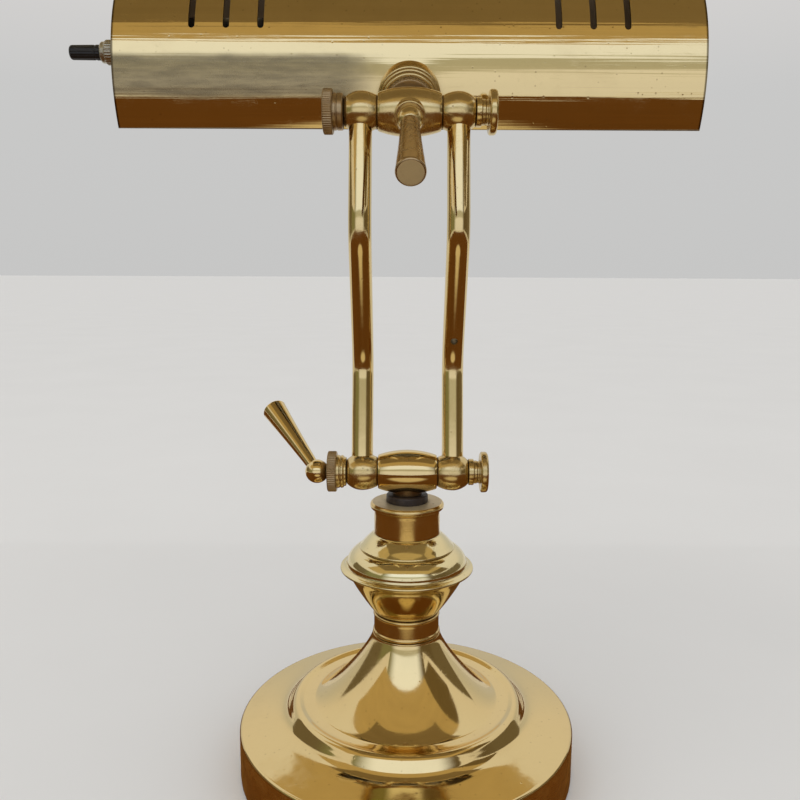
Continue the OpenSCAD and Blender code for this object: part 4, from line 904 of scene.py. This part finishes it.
def on_trough(u, v, depth):
    """u runs round the trough from its middle towards the neck, v along it. The neck pulls the sheet out."""
    a = u / SHADE_R
    pull = ((u - NECK_S) / PULL_ROUND) ** 2 + (v / (PULL_LEFT if v < 0 else PULL_RIGHT)) ** 2
    wave = 0.5 + 0.5 * math.sin(v / WAVE_L + WAVE_START) * math.cos(a * WAVES_ROUND)
    r = SHADE_R - depth + PULL_H * math.exp(-pull) - WAVE_H * wave
    return AT_SHADE @ Vector((v, -r * math.sin(a), r * math.cos(a)))


def slot_loop(x, width, reach, steps=36, end_steps=8):
    """A slot with round ends, across the trough at x."""
    half = width / 2
    loop = [(-reach + 2 * reach * i / steps, x + half) for i in range(steps + 1)]
    loop += [(reach + half * math.cos(a), x + half * math.sin(a))
             for a in [math.pi / 2 - math.pi * i / end_steps for i in range(1, end_steps)]]
    loop += [(reach - 2 * reach * i / steps, x - half) for i in range(steps + 1)]
    loop += [(-reach - half * math.cos(a), x + half * math.sin(a))
             for a in [-math.pi / 2 + math.pi * i / end_steps for i in range(1, end_steps)]]
    return loop


vent_reach = SHADE_R * VENT_HALF
vents = [slot_loop(way * (VENT_X + VENT_PITCH * i), VENT_W, vent_reach) for way in (-1, 1) for i in range(3)]
HEM_ROOM = 0.4
sheet_reach = SHADE_R * SHADE_HALF - HEM_ROOM
# The inside face of the trough takes the dark inside finish, which paints in shade
trough = pierced_sheet("shade_trough", (-sheet_reach, sheet_reach), (-SHADE_L / 2, SHADE_L / 2), (110, 96),
                       vents, on_trough, SHADE_T, lining=shaded_inside)
place(trough, "shade", shade_brass, "polished_brass", "shade_shell", lining=shaded_inside)

# Folded hems, as radii and angles round the trough
HEM_ROUND = 0.006
HEM_DEEP = 0.05
HEM_SHORT = 0.05
hem_in = SHADE_R - 2 * SHADE_T
hem_mid = (SHADE_R + hem_in) / 2
fold = [(hem_mid + SHADE_T * math.sin(t), SHADE_HALF - HEM_ROUND + HEM_ROUND * math.cos(t))
        for t in [math.pi / 2 - math.pi * i / 10 for i in range(11)]]
fold += [(hem_in, SHADE_HALF - HEM_DEEP), (hem_in + 0.35, SHADE_HALF - HEM_DEEP - 0.004),
         (hem_in + SHADE_T, SHADE_HALF - HEM_DEEP)]
hem_reach = SHADE_L / 2 - HEM_SHORT
for side, way in (("back", 1), ("front", -1)):
    section = [(-way * r * math.sin(a), r * math.cos(a)) for r, a in fold]
    place(prism(f"shade_{side}_hem", section, -hem_reach, hem_reach, AT_SHADE), "shade", edge_brass,
          "aged_brass")

cap_r = SHADE_R - SHADE_T - 0.1
cap_round = flowing([(cap_r - 2.2, 0.02), (cap_r - 1.0, 0.12), (cap_r - 0.25, 0.5), (cap_r, 1.2)], 5)
cap_line = ([(0.0, 0.0), (cap_r - 3.0, 0.0)] + cap_round
            + [(cap_r, 3.5), (cap_r - 1.0, 3.5), (cap_r - 1.0, 1.6), (cap_r - 1.6, 1.0), (0.0, 1.0)])
for side, way in (("left", -1), ("right", 1)):
    inward = AT_SHADE @ shift(way * CAP_X, 0, 0) @ (TO_LEFT if way > 0 else TO_RIGHT)
    plate = turned(f"{side}_end_cap_plate", cap_line, inward, around=120, loop=True, span=180,
                   start=-90 * way)
    place(plate, "shade", lacquered_brass, "polished_brass", f"{side}_end_cap")

# Neck between the barrel and the shade
neck_ring = eased([(4.05, 10.3), (9.7, 10.3, 0.3), (10.2, 10.7, 0.2), (10.2, 13.4, 0.2), (9.7, 13.9, 0.3),
                   (4.05, 13.9)], 0.3)
place(turned("neck_ring_knurl", neck_ring, AT_NECK, teeth=48, tooth_h=0.4, tooth_from=9.9), "neck_ring",
      tarnished_brass, "aged_brass", "neck_knurled_ring")


def trough_depth(x, y):
    """Distance along the neck from the pivot to the outside of the trough, at a place across the neck."""
    across = AT_SHADE.inverted() @ AT_NECK
    start, way = across @ Vector((x, y, 0)), (across.to_3x3() @ Vector((0, 0, 1)))
    b = start.y * way.y + start.z * way.z
    a = way.y ** 2 + way.z ** 2
    c = start.y ** 2 + start.z ** 2 - SHADE_R ** 2
    return (-b - math.sqrt(max(b * b - a * c, 0))) / a


flange_line = ([(4.1, 14.02), (9.9, 14.02)] + arc((10.6, 14.9), 1.0, 0.88, 270, 430, 12) + [(11.2, 15.9)]
               + arc((11.7, 16.75), 0.95, 0.85, 250, 430, 12) + [(12.5, 17.6)]
               + arc((12.5, 18.55), 1.0, 1.0, 280, 430, 12) + [(13.2, 19.4), (13.4, 20.4), (13.5, 26.0)])
FITTED_FROM = 17.0
SUNK = 0.6
flange = turned("neck_flange_beads", flange_line, AT_NECK, around=144)
from_neck = AT_NECK.inverted()
for v in flange.data.vertices:
    p = from_neck @ (v.co / MM)
    if p.z > FITTED_FROM:
        p.z = min(p.z, trough_depth(p.x, p.y) + SUNK)
        v.co = AT_NECK @ p * MM
place(flange, "shade", cast_brass, "polished_brass", "neck_flange")

# Lamp holder and lamp inside the shade
holder = eased([(5.1, 0.0), (13.0, 0.0, 1.5), (15.0, 2.0, 1.0), (15.0, 6.0, 0.4), (17.0, 7.0, 0.5),
                (17.0, 11.0, 0.4), (16.4, 11.5, 0.3), (16.4, 13.0, 0.3), (17.0, 13.5, 0.4),
                (17.0, 38.0, 0.4), (16.4, 38.5, 0.3), (16.4, 40.0, 0.3), (17.0, 40.5, 0.4),
                (17.0, 44.0, 0.6), (14.1, 44.0, 0.4), (14.1, 10.0), (5.1, 10.0)], 0.3)
place(turned("lamp_holder_moulded", holder, AT_LAMP @ shift(HOLDER_X, 0, 0) @ TO_RIGHT, around=96), "shade",
      black_moulding, "black_plastic", "lamp_holder")
bulb_line = ([(13.1, 0.0)] + flowing([(13.2, 0.3), (13.3, 1.5), (13.7, 4.5), (13.95, 8.0), (14.0, 12.0)], 6)
             + [(14.0, 20.0 + 12 * i) for i in range(8)] + arc((0, 116.0), 14.0, 14.0, 0, 90, 24))
place(turned("lamp_glass", bulb_line, AT_LAMP @ shift(HOLDER_END_X, 0, 0) @ TO_RIGHT, around=96), "shade",
      frosted_glass, "frosted_glass", "bulb_glass")

# Switch in the left end cap
out_left = AT_SWITCH @ shift(-CAP_X, 0, 0) @ TO_LEFT
switch_washer = eased([(4.1, 0.0), (6.35, 0.0, 0.2), (6.35, 1.6, 0.4), (5.9, 2.0, 0.3), (4.1, 2.0)], 0.3)
place(turned("switch_washer_turned", switch_washer, out_left, around=72), "shade", dull_nickel, "aged_brass",
      "switch_washer")
switch_nut = eased([(4.1, 2.0), (4.9, 2.0, 0.2), (5.2, 2.3, 0.2), (5.2, 5.2, 0.2), (4.8, 5.6, 0.3),
                    (4.5, 5.7, 0.2), (4.4, 7.3, 0.3), (4.1, 7.6)], 0.3)
place(turned("switch_nut_knurl", switch_nut, out_left, teeth=28, tooth_h=0.16, tooth_from=5.0), "shade",
      dull_nickel, "aged_brass", "switch_nut")
knob = eased([(0.0, 0.0), (2.9, 0.0, 0.2), (3.2, 0.4, 0.2), (3.2, 2.2, 0.15), (3.0, 2.4, 0.15),
              (3.0, 2.9, 0.15), (3.15, 3.1, 0.15), (3.05, 13.0, 0.3), (2.7, 13.5, 0.2), (0.0, 13.5)], 0.2)
place(turned("switch_knob_moulded", knob, AT_SWITCH @ shift(KNOB_X, 0, 0) @ TO_LEFT, teeth=18, tooth_h=0.12,
             tooth_from=2.6), "switch_knob", black_knob, "black_plastic", "switch_knob")

# Studio: pale floor, soft light and cards that the metal reflects, in metres
FLOOR_R = 60.0


def staged(name, mesh, finish):
    """A thing of the studio, which isn't part of the lamp."""
    mesh.materials.append(finish)
    piece = bpy.data.objects.new(name, mesh)
    bpy.context.collection.objects.link(piece)
    return piece


def pale_finish():
    m, tree, coat = new_finish("pale_floor", Roughness=0.7, Specular_IOR_Level=0.2)
    tone = mixed(tree, noise(tree, surface(tree), 6, 4), (0.72, 0.71, 0.69, 1), (0.76, 0.75, 0.73, 1))
    tree.links.new(tone, coat["Base Color"])
    return m


floor_mesh = bpy.data.meshes.new("studio_floor")
bm = bmesh.new()
bmesh.ops.create_circle(bm, cap_ends=True, radius=FLOOR_R, segments=96)
bm.to_mesh(floor_mesh)
bm.free()
staged("studio_floor", floor_mesh, pale_finish())


def card(name, finish, corners):
    """A card that only the metal and the glass see."""
    mesh = bpy.data.meshes.new(name)
    mesh.from_pydata(corners, [], [(0, 1, 2, 3)])
    piece = staged(name, mesh, finish)
    piece.visible_camera = False
    piece.visible_diffuse = False
    piece.visible_shadow = False


def flat_card(name, finish, left, right, near, far, z):
    card(name, finish, [(left, near, z), (right, near, z), (right, far, z), (left, far, z)])


def card_finish(name, dark, light, spot=None):
    """A matt card of two tones; a spot is its middle, its tone, and where it ends and is full."""
    m, tree, coat = new_finish(name, Roughness=0.9, Specular_IOR_Level=0.0)
    where = surface(tree)
    tone = mixed(tree, noise(tree, stretched(tree, where, (2.5, 14, 1)), 1.0, 4), dark, light)
    if spot:
        middle, spot_tone, spot_end, spot_full = spot
        off = node(tree, "ShaderNodeVectorMath", {0: where, 1: middle}, operation="DISTANCE").outputs["Value"]
        tone = mixed(tree, spread(tree, off, spot_end, spot_full), tone, spot_tone)
    tree.links.new(tone, coat["Base Color"])
    return m


OVERHEAD_Z, LOW_OVERHEAD_Z, ON_FLOOR_Z = 0.87, 0.62, 0.0004
OVERHEAD_NEAR, OVERHEAD_FAR, REAR_FAR = -0.74, 0.05, 0.78
OVERHEAD_LEFT, OVERHEAD_RIGHT, DARK_RIGHT = -1.15, 0.75, 1.5
brown_card = card_finish("brown_card", (0.10, 0.042, 0.010, 1), (0.17, 0.072, 0.018, 1),
                         ((0.0, -0.29, 0.0), (0.70, 0.60, 0.40, 1), 0.16, 0.10))
tan_card = card_finish("tan_card", (0.62, 0.47, 0.23, 1), (0.80, 0.61, 0.30, 1))
dark_card = card_finish("dark_card", (0.18, 0.13, 0.06, 1), (0.26, 0.19, 0.09, 1))
umber_card = card_finish("umber_card", (0.26, 0.19, 0.09, 1), (0.36, 0.27, 0.14, 1),
                         ((0.62, -0.1, 0.0), (0.10, 0.075, 0.035, 1), 0.72, 0.10))
flat_card("front_card", brown_card, -1.4, 1.4, -1.34, 0.30, ON_FLOOR_Z)
flat_card("overhead_card", tan_card, OVERHEAD_LEFT, OVERHEAD_RIGHT, OVERHEAD_NEAR, OVERHEAD_FAR, OVERHEAD_Z)
flat_card("rear_overhead_card", tan_card, -0.50, 0.42, OVERHEAD_FAR, REAR_FAR, OVERHEAD_Z)
flat_card("dark_overhead_card", dark_card, OVERHEAD_RIGHT, DARK_RIGHT, OVERHEAD_NEAR, OVERHEAD_FAR,
          OVERHEAD_Z)
flat_card("low_overhead_card", umber_card, -0.34, 0.34, -0.22, 0.16, LOW_OVERHEAD_Z)


def tones(tree, value, *stops):
    """Tones that run into each other from stop to stop."""
    ramp = node(tree, "ShaderNodeValToRGB", {0: value})
    first, last = ramp.color_ramp.elements
    first.position, first.color = stops[0][0], (*stops[0][1], 1)
    last.position, last.color = stops[-1][0], (*stops[-1][1], 1)
    for at, tone in stops[1:-1]:
        ramp.color_ramp.elements.new(at).color = (*tone, 1)
    return ramp.outputs[0]


def glowing(name):
    """A finish that gives its own even light, with its tree, its light and the places on its card."""
    m, tree, coat = new_finish(name, Base_Color=(0, 0, 0, 1), Specular_IOR_Level=0.0, Emission_Strength=1.0)
    return m, tree, coat["Emission Color"], axes(tree, surface(tree))


WALL_X, WALL_NEAR, WALL_FAR = 2.1, -1.7, 1.3
WALL_TOP, SIDE_TOP = 2.0, 1.0
LEFT_TONE, RIGHT_TONE, REAR_TONE = (0.22, 0.22, 0.12, 1), (0.13, 0.10, 0.055, 1), (0.16, 0.13, 0.08, 1)
window_finish, tree, light, at = glowing("window_card")
bands = tones(tree, product(tree, at["Z"], 1 / WALL_TOP), (0.0, (0.78, 0.81, 0.92)),
              (0.275, (0.82, 0.85, 0.96)), (0.325, (0.52, 0.53, 0.50)), (0.45, (0.48, 0.50, 0.47)),
              (0.50, (0.94, 1.05, 1.34)), (1.0, (0.98, 1.08, 1.36)))
bands = mixed(tree, spread(tree, at["X"], -0.85, -WALL_X), bands, LEFT_TONE)
bands = mixed(tree, spread(tree, at["X"], 0.90, 1.9), bands, RIGHT_TONE)
tree.links.new(bands, light)
card("window_card", window_finish, [(-WALL_X, WALL_NEAR, 0.0), (WALL_X, WALL_NEAR, 0.0),
                                    (WALL_X, WALL_NEAR, WALL_TOP), (-WALL_X, WALL_NEAR, WALL_TOP)])
for side, x, tone in (("left", -WALL_X, LEFT_TONE), ("right", WALL_X, RIGHT_TONE)):
    side_finish, tree, light, at = glowing(f"{side}_card")
    tree.links.new(mixed(tree, spread(tree, at["Y"], -0.6, 0.0), tone, REAR_TONE), light)
    card(f"{side}_card", side_finish, [(x, WALL_NEAR, 0.0), (x, WALL_FAR, 0.0), (x, WALL_FAR, SIDE_TOP),
                                       (x, WALL_NEAR, SIDE_TOP)])

# Background, the same for the camera, the metal and the glass, and an even light for the rest
EVEN_LIGHT = (0.90, 0.90, 0.90, 1)
world = bpy.context.scene.world or bpy.data.worlds.new("studio")
bpy.context.scene.world = world
world.use_nodes = True
sky = world.node_tree
way = axes(sky, node(sky, "ShaderNodeTexCoord").outputs["Generated"])
room = tones(sky, scaled_sum(sky, way["Z"], 0.5, 0.5), (0.0, (0.40, 0.39, 0.37)), (0.45, (0.56, 0.56, 0.555)),
             (0.60, (0.58, 0.58, 0.575)), (0.72, (0.74, 0.71, 0.69)), (1.0, (0.78, 0.78, 0.80)))
ray = node(sky, "ShaderNodeLightPath").outputs
sight = maths(sky, "ADD", ray["Is Camera Ray"], ray["Is Glossy Ray"])
sight = maths(sky, "ADD", sight, ray["Is Transmission Ray"], clamp=True)
background = sky.nodes["Background"].inputs
sky.links.new(mixed(sky, sight, EVEN_LIGHT, room), background["Color"])
background["Strength"].default_value = 1.0


def softbox(name, at, aim, width, height, watts):
    """A soft light that the metal doesn't show."""
    lamp = bpy.data.lights.new(name, "AREA")
    lamp.shape = "RECTANGLE"
    lamp.size, lamp.size_y = width, height
    lamp.energy = watts
    lamp.color = (1.0, 0.97, 0.92)
    light = bpy.data.objects.new(name, lamp)
    light.location = at
    light.rotation_euler = (Vector(aim) - Vector(at)).to_track_quat("-Z", "Y").to_euler()
    light.visible_glossy = False
    bpy.context.collection.objects.link(light)


softbox("window_softbox", (0.0, -1.7, 0.98), (0, 0, 0.25), width=1.9, height=0.42, watts=0.4)
softbox("top_softbox", (-0.7, -0.3, 1.7), (0, 0, 0.15), width=0.7, height=0.7, watts=1.6)

# Camera at the photograph's viewing angle, in metres and degrees
EYE_AT = (-0.0034, -0.346, 0.225)
EYE_DOWN = 8.96
EYE_ROLL = 0.27
eye = bpy.data.cameras.new("camera")
eye.sensor_width = 36.0
eye.lens = 36.0
eye.clip_start = 0.01
camera = bpy.data.objects.new("camera", eye)
bpy.context.collection.objects.link(camera)
camera.matrix_world = shift(*EYE_AT) @ turn(90 - EYE_DOWN, "X") @ turn(EYE_ROLL, "Z")
bpy.context.scene.camera = camera
bpy.context.scene.view_settings.view_transform = "Standard"
